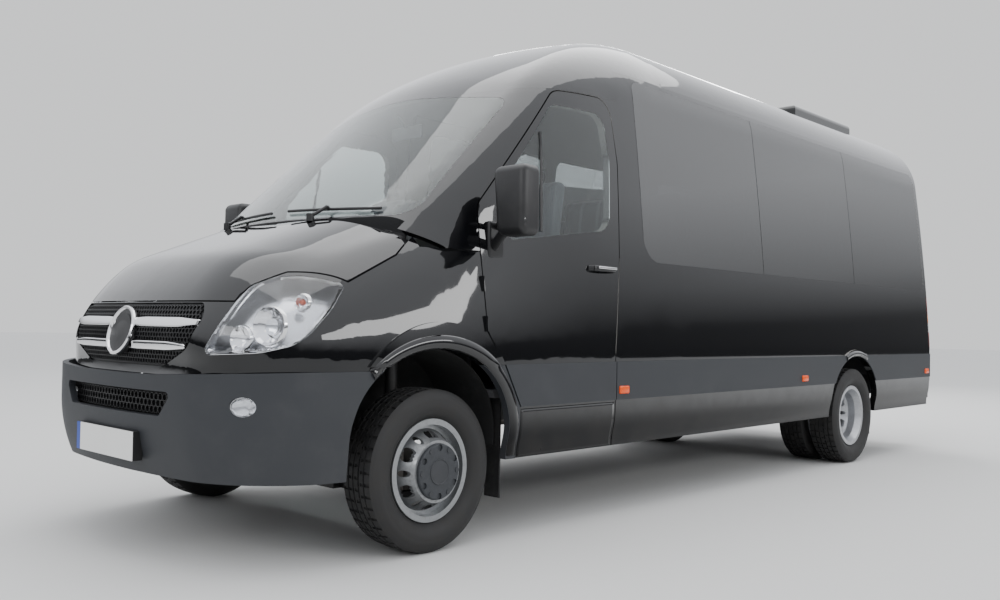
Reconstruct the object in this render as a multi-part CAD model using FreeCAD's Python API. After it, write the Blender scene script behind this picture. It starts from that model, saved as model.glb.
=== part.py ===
import FreeCAD, Part
import math
import os

# Minibus, left side on +X, front on -Y. Lengthwise places are kept as distances
# behind the front axle and are moved to the middle of the vehicle when written.

# Main sizes
wheelbase = 4325.0
front_overhang = 1004.0
rear_overhang = 1616.0
plate_depth = 14.0
half_width = 988.0
wall = 45.0
panel_gap = 6.0
seat_gap = 0.3
overrun = 40.0
rear_a = wheelbase + rear_overhang
origin_shift = (front_overhang + plate_depth - rear_a) / 2

# Heights and shape of the body side
sill_z = 363.0
strip_low_z = 600.0
strip_high_z = 797.0
belt_z = 850.0
sill_tuck = 22.0
side_lean = 0.055
side_arc = 20000.0
cab_taper = 60.0
taper_start_a = 400.0
taper_run = 900.0
upper_taper = 60.0
strip_proud = 8.0

# Cab and roof
b_pillar_a = 1262.0
b_post_a = 1400.0
screen_foot_a = -209.0
screen_foot_z = 1465.0
screen_slope = 41.8
screen_bow = 188.0
screen_half = 780.0
roof_z = 2690.0
roof_crown = 70.0
cap_radius = 489.0
roof_edge_radius = 380.0
pillar_radius = 170.0
pillar_end_a = 700.0
full_roof_a = 1900.0
cant_z = 2375.0
section_core_z = 900.0

# Nose
grille_front_a = -946.0
grille_front_z = 925.0
front_lean = 0.40
front_bow = 110.0
nose_plan_radius = 380.0
bonnet_back_a = -180.0
bonnet_back_z = 1462.0
bonnet_slope = 0.38
bonnet_droop_a = -600.0
bonnet_droop_radius = 1430.0
bonnet_drop = 95.0
crease_half = 675.0
flank_slope = 0.40
wing_radius = 150.0
lip_radius = 130.0

# Bumper
bumper_bow = 130.0
bumper_radius = 330.0
bumper_low_z = 300.0
bumper_wall = 30.0
bumper_tuck = 0.25

# Wheels and running gear
wheel_z = 350.0
tyre_radius = 350.0
rim_radius = 203.0
rim_flange_radius = 220.0
rim_width = 140.0
rim_wall = 8.0
front_wheel_x = 855.0
rear_wheel_x = 760.0
twin_offset = 117.0
stud_circle_radius = 102.5
stud_count = 6
hub_radius = 68.0
spindle_radius = 28.0
kingpin_x = 772.0
kingpin_radius = 16.0

# Wheel arches
arch_a = -8.0
arch_z = 500.0
arch_run = 440.0
arch_rise = 370.0
flare_a = 20.0
flare_run = 490.0
flare_rise = 485.0
flare_proud = 13.0
liner_wall = 4.0
liner_low_z = 420.0
liner_inner_x = 545.0
rear_arch_run = 415.0
rear_arch_rise = 350.0
rear_flare_run = 455.0
rear_flare_rise = 400.0
rear_arch_z = 440.0
rear_liner_inner_x = 525.0

# Doors
door_front_a = 292.0
door_foot_a = 503.0
door_bend_a = 398.0
door_bend_z = 947.0
door_hinge_low_z = 980.0
door_hinge_high_z = 1160.0
door_hinge_stand_out = 5.2
door_hinge_radius = 2.7
door_hinge_length = 70.0
door_leaf_depth = 12.0
door_bevel_run = 14.0
door_bevel_reach = 75.0

nodes = {}


def vec(x, a, z):
    return FreeCAD.Vector(x, a, z)


def add(name, *shapes):
    nodes.setdefault(name, []).extend(shapes)


def blend(first, second, radius):
    """Depth below two surfaces that meet in a rounded edge."""
    if first >= radius or second >= radius:
        return min(first, second)
    return radius - math.hypot(radius - first, radius - second)


def side_half(a, z):
    """Half width of the body side at one place."""
    rise = max(0.0, z - belt_z)
    half = half_width - side_lean * rise - rise * rise / (2 * side_arc)
    if z < strip_low_z:
        half -= sill_tuck * ((strip_low_z - z) / (strip_low_z - sill_z)) ** 2
    return half - plan_taper(a) - upper_taper * upper_share(a, z)


def plan_taper(a):
    """How much the body narrows towards the front."""
    return cab_taper * (max(0.0, taper_start_a - a) / taper_run) ** 2


def upper_share(a, z):
    """Share of the extra narrowing that the cab has above its belt."""
    return ease(z, belt_z, screen_foot_z) * max(0.0, (b_pillar_a - a) / b_pillar_a) ** 2


def ease(value, low, high):
    share = min(1.0, max(0.0, (value - low) / (high - low)))
    return share * share * (3 - 2 * share)


def cabin_depth(x, a, z, inset):
    """How far a point lies inside the cabin's outer surface, less the inset."""
    slope = math.radians(screen_slope)
    back = a - screen_foot_a - screen_bow * (x / screen_half) ** 2
    to_screen = back * math.sin(slope) - (z - screen_foot_z) * math.cos(slope)
    to_roof = roof_z - roof_crown * (x / half_width) ** 2 - z
    top = blend(to_screen - inset, to_roof - inset, cap_radius)
    share = ease(a, pillar_end_a, full_roof_a)
    radius = pillar_radius + (roof_edge_radius - pillar_radius) * share
    return blend(side_half(a, z) - abs(x) - inset, top, radius - inset / 2)


def bonnet_height(x, a):
    """Height of the bonnet and wing tops before their edges are rounded."""
    height = bonnet_back_z + bonnet_slope * (a - bonnet_back_a)
    height -= max(0.0, bonnet_droop_a - a) ** 2 / (2 * bonnet_droop_radius)
    across = min(abs(x), crease_half) / crease_half
    return height - bonnet_drop * across ** 4 - flank_slope * max(0.0, abs(x) - crease_half)


def nose_depth(x, a, z, inset):
    """How far a point lies inside the nose's outer surface, less the inset."""
    front = grille_front_a + front_lean * (z - grille_front_z) + front_bow * (x / half_width) ** 2
    if z < grille_front_z:
        front = grille_front_a + front_bow * (x / half_width) ** 2
    around = blend(side_half(a, z) - abs(x) - inset, a - front - inset, nose_plan_radius - inset)
    to_top = (bonnet_height(x, a) - z) * math.cos(math.atan(bonnet_slope)) - inset
    radius = lip_radius + (wing_radius - lip_radius) * min(1.0, abs(x) / half_width)
    return blend(around, to_top, radius - inset / 2)


def bumper_depth(x, a, z, inset):
    """How far a point lies inside the bumper's outer surface, less the inset."""
    front = -front_overhang + bumper_bow * (x / half_width) ** 2
    front += bumper_tuck * max(0.0, strip_low_z - z) ** 2 / (strip_low_z - bumper_low_z)
    half = half_width + strip_proud - plan_taper(a)
    half -= sill_tuck * max(0.0, strip_low_z - z) / (strip_low_z - sill_z)
    return blend(half - abs(x) - inset, a - front - inset, bumper_radius - inset)


def solve(depth, start, step, reach, inset):
    """Point on a surface along a ray, found by halving."""
    low, high = 0.0, reach
    for _ in range(halvings):
        middle = (low + high) / 2
        at = [s + d * middle for s, d in zip(start, step)]
        if depth(at[0], at[1], at[2], inset) > 0:
            low = middle
        else:
            high = middle
    return vec(*[s + d * low for s, d in zip(start, step)])


ray_reach = 3000.0
halvings = 34
arc_steps = 45
cabin_station_count = 18
cabin_lower_heights = [sill_z, (sill_z + strip_low_z) / 2, strip_low_z, (strip_low_z + belt_z) / 2]


def cabin_grid(inset):
    """Rows of points round the front of the cabin, up to where its section stays the same."""
    rows = []
    for i in range(cabin_station_count + 1):
        a = cabin_start_a + (full_roof_a - cabin_start_a) * i / cabin_station_count
        right = [vec(side_half(a, z) - inset, a, z) for z in cabin_lower_heights]
        arc = []
        for step in range(-arc_steps, arc_steps + 1):
            angle = math.pi / 2 * step / arc_steps
            ray = (math.sin(angle), 0.0, math.cos(angle))
            arc.append(solve(cabin_depth, (0.0, a, section_core_z), ray, ray_reach, inset))
        left = [vec(-p.x, p.y, p.z) for p in right]
        rows.append(left + arc + right[::-1])
    return rows


bowl_step = 4.0
bowl_columns = 20


def bowl_grid(depth, inset, low_angle, high_angle, spread):
    """Rows of points round the nose: planes turn about the line of the front axle."""
    rows = []
    tilt_steps = int((high_angle - low_angle) / bowl_step)
    for i in range(tilt_steps + 1):
        tilt = math.radians(low_angle + (high_angle - low_angle) * i / tilt_steps)
        row = []
        for j in range(-bowl_columns, bowl_columns + 1):
            turn = math.radians(spread * j / bowl_columns)
            ahead = math.cos(turn)
            ray = (math.sin(turn), -ahead * math.cos(tilt), ahead * math.sin(tilt))
            row.append(solve(depth, (0.0, 0.0, wheel_z), ray, ray_reach, inset))
        rows.append(row)
    return rows


def grid_face(rows):
    surface = Part.BSplineSurface()
    surface.interpolate(rows)
    return surface


def thick_skin(outer_rows, inner_rows):
    """Closed solid between two grids of points that have the same rows and columns."""
    outer, inner = grid_face(outer_rows), grid_face(inner_rows)
    faces = [outer.toShape(), inner.toShape()]
    for which in ("first_u", "last_u", "first_v", "last_v"):
        faces.append(Part.makeRuledSurface(edge_of(outer, which), edge_of(inner, which)))
    shell = Part.makeShell(faces)
    shell.sewShape()
    solid = Part.makeSolid(shell)
    if solid.Volume < 0:
        solid.reverse()
    return solid


def edge_of(surface, which):
    u0, u1, v0, v1 = surface.bounds()
    if which == "first_u":
        return surface.uIso(u0).toShape()
    if which == "last_u":
        return surface.uIso(u1).toShape()
    if which == "first_v":
        return surface.vIso(v0).toShape()
    return surface.vIso(v1).toShape()


cabin_start_a = screen_foot_a - overrun
rear_frame_depth = 60.0
cabin_end_a = rear_a - rear_frame_depth


def cabin_skin(outer_inset, inner_inset):
    """Front of the cabin, where the section changes, with the long straight run behind it."""
    outer_rows, inner_rows = cabin_grid(outer_inset), cabin_grid(inner_inset)
    front = thick_skin(outer_rows, inner_rows)
    section = min(front.Faces, key=lambda face: abs(face.CenterOfMass.y - full_roof_a))
    return front.fuse(section.extrude(vec(0.0, cabin_end_a - full_roof_a, 0.0)))


nose_low_angle = 20.0
nose_high_angle = 136.0
nose_spread = 68.0


def nose_skin(outer_inset, inner_inset):
    return thick_skin(bowl_grid(nose_depth, outer_inset, nose_low_angle, nose_high_angle, nose_spread),
                      bowl_grid(nose_depth, inner_inset, nose_low_angle, nose_high_angle, nose_spread))


def outline(points, radii=None, grow=0.0):
    """Closed wire of straight sides with rounded corners, in the plane of the points."""
    count = len(points)
    radii = radii or [0.0] * count
    if not isinstance(radii, (list, tuple)):
        radii = [radii] * count
    starts, ends, arcs = [], [], []
    for i, point in enumerate(points):
        before = (points[i - 1] - point)
        after = (points[(i + 1) % count] - point)
        turn = math.pi - before.getAngle(after)
        back = radii[i] * math.tan(turn / 2)
        if radii[i] <= 0:
            starts.append(point)
            ends.append(point)
            arcs.append(None)
            continue
        before.normalize()
        after.normalize()
        first, last = point + before * back, point + after * back
        half = (before + after).normalize()
        middle = point + half * (radii[i] / math.cos(turn / 2) - radii[i])
        starts.append(first)
        ends.append(last)
        arcs.append(Part.Arc(first, middle, last).toShape())
    edges = []
    for i in range(count):
        if arcs[i]:
            edges.append(arcs[i])
        edges.append(Part.makeLine(ends[i], starts[(i + 1) % count]))
    wire = Part.Wire(edges)
    if grow:
        wire = wire.makeOffset2D(grow, 2 if grow > 0 else 0)
    return wire


def side_prism(points, x_from, x_to, radii=None, grow=0.0):
    """Side view outline, given as (a, z), carried across from one x to another."""
    wire = outline([vec(x_from, a, z) for a, z in points], radii, grow)
    return Part.Face(wire).extrude(vec(x_to - x_from, 0.0, 0.0))


def front_prism(points, a_from, a_to, radii=None, grow=0.0):
    """Front view outline, given as (x, z), carried along from one a to another."""
    wire = outline([vec(x, a_from, z) for x, z in points], radii, grow)
    return Part.Face(wire).extrude(vec(0.0, a_to - a_from, 0.0))


def top_prism(points, z_from, z_to, radii=None, grow=0.0):
    """Top view outline, given as (x, a), carried up from one z to another."""
    wire = outline([vec(x, a, z_from) for x, a in points], radii, grow)
    return Part.Face(wire).extrude(vec(0.0, 0.0, z_to - z_from))


def box(x0, x1, a0, a1, z0, z1):
    return Part.makeBox(x1 - x0, a1 - a0, z1 - z0, vec(x0, a0, z0))


def across_cylinder(radius, x0, x1, a, z):
    return Part.makeCylinder(radius, x1 - x0, vec(x0, a, z), vec(1.0, 0.0, 0.0))


def mirrored(shape):
    return shape.mirror(vec(0.0, 0.0, 0.0), vec(1.0, 0.0, 0.0))


def both(shape):
    return [shape, mirrored(shape)]


crumb_volume = 1000.0
offcut_volume = 100000.0


def solids_of(shape, least=crumb_volume):
    return [s for s in shape.Solids if s.Volume > least]


side_far = half_width + 8 * overrun

# Door outline, seen from the side
door_top_front_a = 905.0
door_top_front_z = 2172.0
door_top_rear_a = 1330.0
door_top_rear_z = 2190.0
door_shoulder_a = 1365.0
door_shoulder_z = 1850.0
door_top_gap = 9.0
door_belt_z = 1350.0
sail_top_a = 430.0
sail_top_z = 1668.0
sail_foot_z = 1520.0
sail_front_a = 102.0
sail_front_z = 1309.0
door_corner_radii = [0.0, 60.0, 60.0, 120.0, 90.0, 200.0, 110.0, 120.0, 300.0, 300.0, 300.0, 0.0]


def door_region(grow):
    points = [(door_foot_a, sill_z - overrun), (door_foot_a + panel_gap, strip_low_z),
              (door_bend_a, strip_high_z), (door_front_a, door_bend_z), (door_front_a, sail_foot_z),
              (sail_top_a, sail_top_z), (door_top_front_a, door_top_front_z),
              (door_top_rear_a, door_top_rear_z), (door_shoulder_a, door_shoulder_z),
              (door_top_rear_a, door_belt_z), (b_pillar_a, belt_z), (b_pillar_a, sill_z - overrun)]
    return side_prism(points, 0.0, side_far, door_corner_radii, grow)


# Door window
window_front_a = 350.0
window_front_z = 1352.0
window_rear_z = 1480.0
window_rear_a = 1255.0
window_top_rear_a = 1262.0
window_top_z = 2095.0
window_top_front_a = 860.0
window_frame = 62.0
window_radii = [30.0, 110.0, 300.0, 90.0, 80.0, 60.0]


def door_window_region(grow):
    points = [(window_front_a + 2 * window_frame, window_front_z + overrun / 2),
              (window_rear_a, window_rear_z), (window_top_rear_a + window_frame / 2, door_shoulder_z),
              (window_top_rear_a, window_top_z), (window_top_front_a, window_top_z - overrun / 4),
              (sail_top_a + window_frame, sail_top_z)]
    return side_prism(points, 0.0, side_far, window_radii, grow)


# Windscreen, seen from the front
screen_low_z = 1452.0
screen_top_z = 2106.0
screen_top_middle_z = 2192.0
screen_low_half = 790.0
screen_top_half = 738.0
screen_corner = 70.0


def screen_region(grow):
    points = [(-screen_low_half, screen_low_z), (screen_low_half, screen_low_z),
              (screen_top_half, screen_top_z), (0.0, screen_top_middle_z), (-screen_top_half, screen_top_z)]
    radii = [screen_corner, screen_corner, screen_corner, wheelbase / 2, screen_corner]
    return front_prism(points, cabin_start_a - overrun, door_top_rear_a, radii, grow)


def roof_region(grow):
    points = [(-screen_low_half, screen_top_z + overrun / 2), (door_front_a, screen_top_z + overrun / 2),
              (door_top_front_a, door_top_front_z + door_top_gap), (b_post_a, door_top_rear_z + door_top_gap),
              (b_post_a + overrun, cant_z), (rear_a, cant_z), (rear_a, roof_z + overrun),
              (-screen_low_half, roof_z + overrun)]
    return side_prism(points, -side_far, side_far, None, grow)


def arch_region(a, z, run, rise, grow, x_from=0.0, x_to=side_far):
    """Wheel arch: an upright half ellipse with straight sides below it."""
    run, rise = run + grow, rise + grow
    arc = Part.Arc(flat_ellipse(x_from, a, z, run, rise), 0.0, math.pi).toShape()
    low_right, low_left = vec(x_from, a + run, -overrun), vec(x_from, a - run, -overrun)
    first, last = arc.valueAt(arc.FirstParameter), arc.valueAt(arc.LastParameter)
    if first.y < last.y:
        first, last = last, first
    edges = [arc, Part.makeLine(last, low_left), Part.makeLine(low_left, low_right),
             Part.makeLine(low_right, first)]
    wire = Part.Wire(Part.sortEdges(edges)[0])
    return Part.Face(wire).extrude(vec(x_to - x_from, 0.0, 0.0))


def flat_ellipse(x, a, z, run, rise):
    if run >= rise:
        return Part.Ellipse(vec(x, a + run, z), vec(x, a, z + rise), vec(x, a, z))
    return Part.Ellipse(vec(x, a, z + rise), vec(x, a - run, z), vec(x, a, z))


def front_arch(grow, x_from=0.0, x_to=side_far):
    return arch_region(arch_a, arch_z, arch_run, arch_rise, grow, x_from, x_to)


def rear_arch(grow, x_from=0.0, x_to=side_far):
    return arch_region(wheelbase, rear_arch_z, rear_arch_run, rear_arch_rise, grow, x_from, x_to)


# Bonnet, seen from above, and the panel gaps round it
lip_z = 1050.0
bonnet_lip_half = 632.0
bonnet_lip_a = -770.0
bonnet_lamp_x = 700.0
bonnet_lamp_a = -595.0
bonnet_tip_x = 850.0
bonnet_tip_a = -405.0
bonnet_waist_x = 842.0
bonnet_waist_a = -140.0
bonnet_rear_x = 800.0
bonnet_rear_a = 0.0
bonnet_wall = 14.0
bonnet_hinge_a = 40.0
bonnet_hinge_z = 1380.0
cowl_depth = 56.0
cowl_under = 40.0
cowl_wall = 12.0
cowl_rear = 18.0
cowl_riser_low_z = 1330.0
cowl_riser_high_z = 1400.0


def bonnet_region(grow):
    half = [(bonnet_lip_half, bonnet_lip_a), (bonnet_lamp_x, bonnet_lamp_a), (bonnet_tip_x, bonnet_tip_a),
            (bonnet_waist_x, bonnet_waist_a), (bonnet_rear_x, bonnet_rear_a)]
    points = [(bonnet_lip_half, -front_overhang)] + half + [(-x, a) for x, a in half[::-1]]
    points.append((-bonnet_lip_half, -front_overhang))
    return top_prism(points, lip_z - grow, screen_foot_z + 2 * overrun, None, grow)


def behind_curve(shift, z_low, z_high):
    """Space behind the curve of the windscreen's foot, moved forward by a shift."""
    foot = screen_foot_a - shift
    arc = Part.Arc(vec(-screen_half, foot + screen_bow, z_low), vec(0.0, foot, z_low),
                   vec(screen_half, foot + screen_bow, z_low)).toShape()
    left = vec(-side_far, foot + screen_bow + overrun, z_low)
    right = vec(side_far, foot + screen_bow + overrun, z_low)
    far_left, far_right = vec(-side_far, door_foot_a, z_low), vec(side_far, door_foot_a, z_low)
    ends = [arc.valueAt(arc.FirstParameter), arc.valueAt(arc.LastParameter)]
    edges = [arc, Part.makeLine(ends[0], left), Part.makeLine(left, far_left),
             Part.makeLine(far_left, far_right), Part.makeLine(far_right, right),
             Part.makeLine(right, ends[1])]
    return Part.Face(Part.Wire(Part.sortEdges(edges)[0])).extrude(vec(0.0, 0.0, z_high - z_low))


# Headlamp outline, seen along the diagonal: shares of its width, then of its height
lamp_inner = -236.0
lamp_width = 546.0
lamp_low_z = 836.0
lamp_height = 325.0
lamp_outline_shares = [(0.0, 0.0), (0.233, 0.658), (0.322, 0.849), (0.487, 0.975), (0.689, 1.0),
                       (1.0, 0.905), (0.912, 0.566), (0.784, 0.274), (0.67, 0.135), (0.451, 0.043)]
lamp_radii = [24.0, 200.0, 90.0, 150.0, 300.0, 26.0, 260.0, 150.0, 130.0, 400.0]
lamp_depth = 110.0
lamp_far = 1350.0
lamp_near = 600.0


def lamp_region(grow):
    """Headlamp outline on the left, carried along the diagonal between front and side."""
    root = math.sqrt(0.5)
    points = []
    for across_share, up_share in lamp_outline_shares:
        t = lamp_inner + lamp_width * across_share
        z = lamp_low_z + lamp_height * up_share
        points.append(vec((t + lamp_near) * root, (t - lamp_near) * root, z))
    face = Part.Face(outline(points, lamp_radii, grow))
    return face.extrude(vec((lamp_far - lamp_near) * root, -(lamp_far - lamp_near) * root, 0.0))


# Grille outline, seen from the front
grille_low_z = 785.0
grille_high_z = 1044.0
grille_low_half = 330.0
grille_side_half = 500.0
grille_side_z = 860.0
grille_wide_half = 548.0
grille_wide_z = 985.0
grille_top_half = 512.0
grille_radii = [110.0, 90.0, 60.0, 30.0]
grille_depth = 22.0
grille_rear_a = -620.0


def grille_region(grow):
    half = [(grille_low_half, grille_low_z), (grille_side_half, grille_side_z),
            (grille_wide_half, grille_wide_z), (grille_top_half, grille_high_z)]
    points = half + [(-x, z) for x, z in half[::-1]]
    radii = grille_radii + grille_radii[::-1]
    return front_prism(points, -front_overhang - overrun, grille_rear_a, radii, grow)


def below(z):
    return box(-side_far, side_far, -front_overhang - overrun, rear_a + overrun, z - ray_reach, z)


def left_half():
    return box(0.0, side_far, -front_overhang - 4 * overrun, rear_a + 4 * overrun, -overrun, roof_z + overrun)


# Side glass, seen from the side
glass_front_a = 1565.0
glass_rear_a = 5835.0
glass_low_z = 1335.0
glass_top_z = 2345.0
glass_corner = 60.0
glass_front_corner = 150.0
glass_wall = 6.0
glass_joints = [2933.0, 4370.0]
glass_joint_gap = 5.0
pane_border = 70.0
pane_pillar = 130.0
pane_corner = 80.0

# Sliding door on the right
slide_front_a = 1440.0
slide_rear_a = 2760.0
slide_corner = 90.0
slide_top_corner = 16.0
slide_sill_z = 470.0

# Rear end
rear_stand_off = 14.0
rear_face_a = rear_a - rear_stand_off
rear_door_wall = 42.0
rear_corner = 40.0
rear_door_low_z = 575.0
rear_door_top_z = 2440.0
rear_door_half = 868.0
rear_door_waist_z = 1300.0
rear_door_top_half = 748.0
rear_door_radii = [40.0, 400.0, 90.0]
rear_leaf_radii = [20.0, 36.0, 400.0, 86.0, 20.0]
rear_window_low_z = 1400.0
rear_window_top_z = 2260.0
rear_window_inset = 95.0
rear_window_corner = 70.0
rear_hinge_radius = 6.0
rear_hinge_heights = [720.0, 1290.0]
rear_hinge_length = 90.0
rear_hinge_reach = 64.0
rear_leaf_wall = 4.0
tail_lamp_low_z = 850.0
tail_lamp_high_z = 1280.0
tail_lamp_width = 95.0
rear_bumper_low_z = 420.0
rear_bumper_top_z = 565.0
rear_bumper_wall = 20.0
rear_bumper_corner = 40.0


def glass_region(grow):
    points = [(glass_front_a, glass_low_z), (glass_rear_a, glass_low_z),
              (glass_rear_a, glass_top_z), (glass_front_a, glass_top_z)]
    radii = [glass_front_corner, glass_corner, glass_corner, glass_corner]
    return side_prism(points, 0.0, side_far, radii, grow)


def pane_spans():
    """Start and end of each pane between the joints of the side glass."""
    edges = [glass_front_a] + glass_joints + [glass_rear_a]
    return list(zip(edges, edges[1:]))


def pane_openings():
    """Openings in the side wall behind the panes."""
    openings = []
    for i, (start, end) in enumerate(pane_spans()):
        first = start + (pane_border if i == 0 else pane_pillar / 2)
        last = end - (pane_border if i == len(glass_joints) else pane_pillar / 2)
        points = [(first, glass_low_z + pane_border), (last, glass_low_z + pane_border),
                  (last, glass_top_z - pane_border), (first, glass_top_z - pane_border)]
        openings.append(side_prism(points, 0.0, side_far, pane_corner))
    return openings


def slide_region(grow):
    points = [(slide_front_a, slide_sill_z), (slide_rear_a, slide_sill_z),
              (slide_rear_a, cant_z - 2 * panel_gap), (slide_front_a, cant_z - 2 * panel_gap)]
    radii = [slide_corner, slide_corner, slide_top_corner, slide_top_corner]
    return side_prism(points, 0.0, side_far, radii, grow)


def band(shape, z_low, z_high):
    return shape.common(box(-side_far, side_far, -side_far * 2, rear_a + side_far, z_low, z_high))


def section_face(a, inset, z_foot):
    """Closed cross-section of the long straight run."""
    points = [vec(side_half(rear_a, z) - inset, a, z) for z in cabin_lower_heights if z > z_foot]
    points = [vec(side_half(rear_a, z_foot) - inset, a, z_foot)] + points
    arc = []
    for step in range(-arc_steps, arc_steps + 1):
        angle = math.pi / 2 * step / arc_steps
        hit = solve(cabin_depth, (0.0, rear_a, section_core_z), (math.sin(angle), 0.0, math.cos(angle)),
                    ray_reach, inset)
        arc.append(vec(hit.x, a, hit.z))
    row = [vec(-p.x, p.y, p.z) for p in points] + arc + points[::-1]
    curve = Part.BSplineCurve()
    curve.interpolate(row)
    return Part.Face(Part.Wire([curve.toShape(), Part.makeLine(row[-1], row[0])]))


def make_roof(skin):
    add("roof", *solids_of(skin.common(roof_region(-seat_gap)).cut(screen_region(seat_gap))))


def rear_arch_lip(trim):
    """Raised lip round the rear arch, above the protective strip."""
    lip = trim.common(arch_region(wheelbase, rear_arch_z, rear_flare_run, rear_flare_rise, 0.0))
    return lip.common(left_half()).cut(rear_arch(0.0)).cut(below(strip_high_z + seat_gap))


def make_side_panels(skin, recess, lip):
    """Walls behind the cab doors: arch, glass recess and openings, sliding door on the right."""
    ahead = side_prism([(cabin_start_a - overrun, sill_z - overrun), (b_pillar_a, sill_z - overrun),
                        (b_pillar_a, belt_z), (door_top_rear_a, door_belt_z),
                        (door_shoulder_a, door_shoulder_z), (b_post_a, cant_z + overrun),
                        (cabin_start_a - overrun, cant_z + overrun)], 0.0, side_far)
    panel = skin.common(left_half()).cut(roof_region(0.0)).cut(ahead)
    panel = panel.cut(door_region(panel_gap / 2)).cut(rear_arch(0.0))
    panel = panel.fuse(lip).cut(recess.common(glass_region(seat_gap)))
    for opening in pane_openings():
        panel = panel.cut(opening)
    add("side_panels", *solids_of(panel))
    plain = mirrored(panel)
    door = mirrored(slide_region(-panel_gap / 2))
    add("sliding_door", *solids_of(plain.common(door)))
    add("side_panels", *solids_of(plain.cut(mirrored(slide_region(panel_gap / 2)))))


def make_side_glass(glass):
    panes = []
    for start, end in pane_spans():
        reach = box(0.0, side_far, start + glass_joint_gap / 2, end - glass_joint_gap / 2, sill_z, roof_z)
        panes.extend(solids_of(glass.common(glass_region(0.0)).common(reach)))
    add("side_glass", *panes)
    right = [mirrored(pane) for pane in panes]
    door, rest = mirrored(slide_region(-panel_gap / 2)), mirrored(slide_region(panel_gap / 2))
    for pane in right:
        add("side_glass", *solids_of(pane.common(door)))
        add("side_glass", *solids_of(pane.cut(rest)))


def make_cab_frame(skin):
    """Windscreen pillars, the corner ahead of the door window and the posts behind the doors."""
    low_a, low_z = cabin_start_a - 2 * overrun, sill_z - 2 * overrun
    wing_top = side_prism([(low_a, low_z), (b_post_a, low_z), (b_post_a, belt_z),
                           (door_front_a, sail_front_z), (sail_front_a, sail_front_z),
                           (low_a, screen_low_z + overrun)], 0.0, side_far)
    ahead = side_prism([(low_a, low_z), (b_pillar_a, low_z), (b_pillar_a, belt_z),
                        (door_top_rear_a, door_belt_z), (door_shoulder_a, door_shoulder_z),
                        (b_post_a, cant_z + overrun), (low_a, cant_z + overrun)], 0.0, side_far)
    frame = skin.common(left_half()).common(ahead).cut(roof_region(0.0)).cut(door_region(panel_gap / 2))
    scuttle_room = box(0.0, screen_half, -side_far, b_pillar_a, sill_z, screen_low_z + overrun)
    scuttle_room = scuttle_room.cut(behind_curve(cowl_rear, sill_z - overrun, screen_low_z + 2 * overrun))
    frame = frame.cut(wing_top).cut(scuttle_room).fuse(screen_base(skin)).cut(screen_region(seat_gap))
    add("cab_frame", *solids_of(frame.fuse(mirrored(frame))))


def screen_base(skin):
    """Foot of the windscreen's frame on the left, with the upright edge behind the scuttle."""
    zone = behind_curve(cowl_rear, cowl_riser_low_z, screen_low_z)
    half = box(0.0, screen_half, -side_far, side_far, cowl_riser_low_z, screen_low_z)
    riser = behind_curve(cowl_rear, cowl_riser_low_z, cowl_riser_high_z)
    riser = riser.cut(behind_curve(cowl_rear - cowl_wall, sill_z, roof_z))
    return skin.common(zone).common(half).fuse(riser.common(half))


def make_windscreen(glass):
    add("windscreen", *solids_of(glass.common(screen_region(0.0))))


def door_hinge_point(z):
    """Point of the front door's hinge line, just outside the skin in the gap ahead of the door."""
    a = door_front_a - seat_gap
    return vec(side_half(a, z) + door_hinge_stand_out, a, z)


def door_hinges():
    """Barrels on the leaning hinge line, with the leaves that hold them to the door's front edge."""
    low, high = door_hinge_point(door_hinge_low_z), door_hinge_point(door_hinge_high_z)
    along = (high - low).normalize()
    pieces = []
    for point in (low, high):
        start = point - along * (door_hinge_length / 2)
        barrel = Part.makeCylinder(door_hinge_radius, door_hinge_length, start, along)
        top = point + along * (door_hinge_length / 2)
        leaf = box(point.x - door_hinge_stand_out - door_leaf_depth, top.x, point.y,
                   door_front_a + panel_gap / 2 - seat_gap, start.z + door_hinge_radius,
                   start.z + door_hinge_length - 2 * door_hinge_radius)
        pieces.append(barrel.fuse(leaf))
    return pieces


def wing_hinge_leaves():
    """Leaves on the wing's rear edge that meet the barrels of the door hinges."""
    rear = door_front_a - panel_gap / 2 - seat_gap
    leaves = []
    for z in (door_hinge_low_z, door_hinge_high_z):
        point = door_hinge_point(z)
        leaves.append(box(point.x - door_hinge_stand_out - door_leaf_depth, point.x + door_hinge_radius,
                          rear - door_leaf_depth, rear, z - door_hinge_length / 2, z + door_hinge_length / 2))
    return leaves


def door_bevel():
    """Room cut off the door's inner rear corner for its swing past the post."""
    rear = b_pillar_a
    points = [(half_width - wall / 3, rear), (half_width - wall / 3, rear - panel_gap / 2),
              (half_width - wall / 3 - door_bevel_reach, rear - panel_gap / 2 - door_bevel_run),
              (half_width - wall / 3 - door_bevel_reach, rear)]
    return top_prism(points, sill_z - overrun, belt_z + 4 * overrun)


def make_doors(skin, glass, strip):
    """Cab doors with their windows and the protective strips on them."""
    door = skin.common(door_region(-panel_gap / 2)).cut(door_window_region(seat_gap)).cut(door_bevel())
    leaf = solids_of(door) + door_hinges()
    pane = glass.common(door_window_region(0.0))
    low = strip.common(door_region(-panel_gap / 2))
    for side, turn in (("left", lambda shape: shape), ("right", mirrored)):
        add("door_" + side, *[turn(piece) for piece in leaf])
        add("door_glass_" + side, *[turn(piece) for piece in solids_of(pane)])
        add("door_strip_" + side, *[turn(piece) for piece in solids_of(low)])
    return door


def wing_zone(grow):
    """Side view outline of all that lies ahead of the door and below the windscreen pillar."""
    low_a = -front_overhang - overrun
    gap = panel_gap / 2
    points = [(low_a, sill_z), (door_bend_a - gap, sill_z), (door_bend_a - gap, strip_high_z),
              (door_front_a - gap, door_bend_z), (door_front_a - gap, sail_front_z),
              (sail_front_a, sail_front_z), (cabin_start_a - 2 * overrun, screen_low_z + overrun),
              (low_a, screen_low_z + overrun)]
    return side_prism(points, 0.0, side_far, None, grow)


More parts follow.
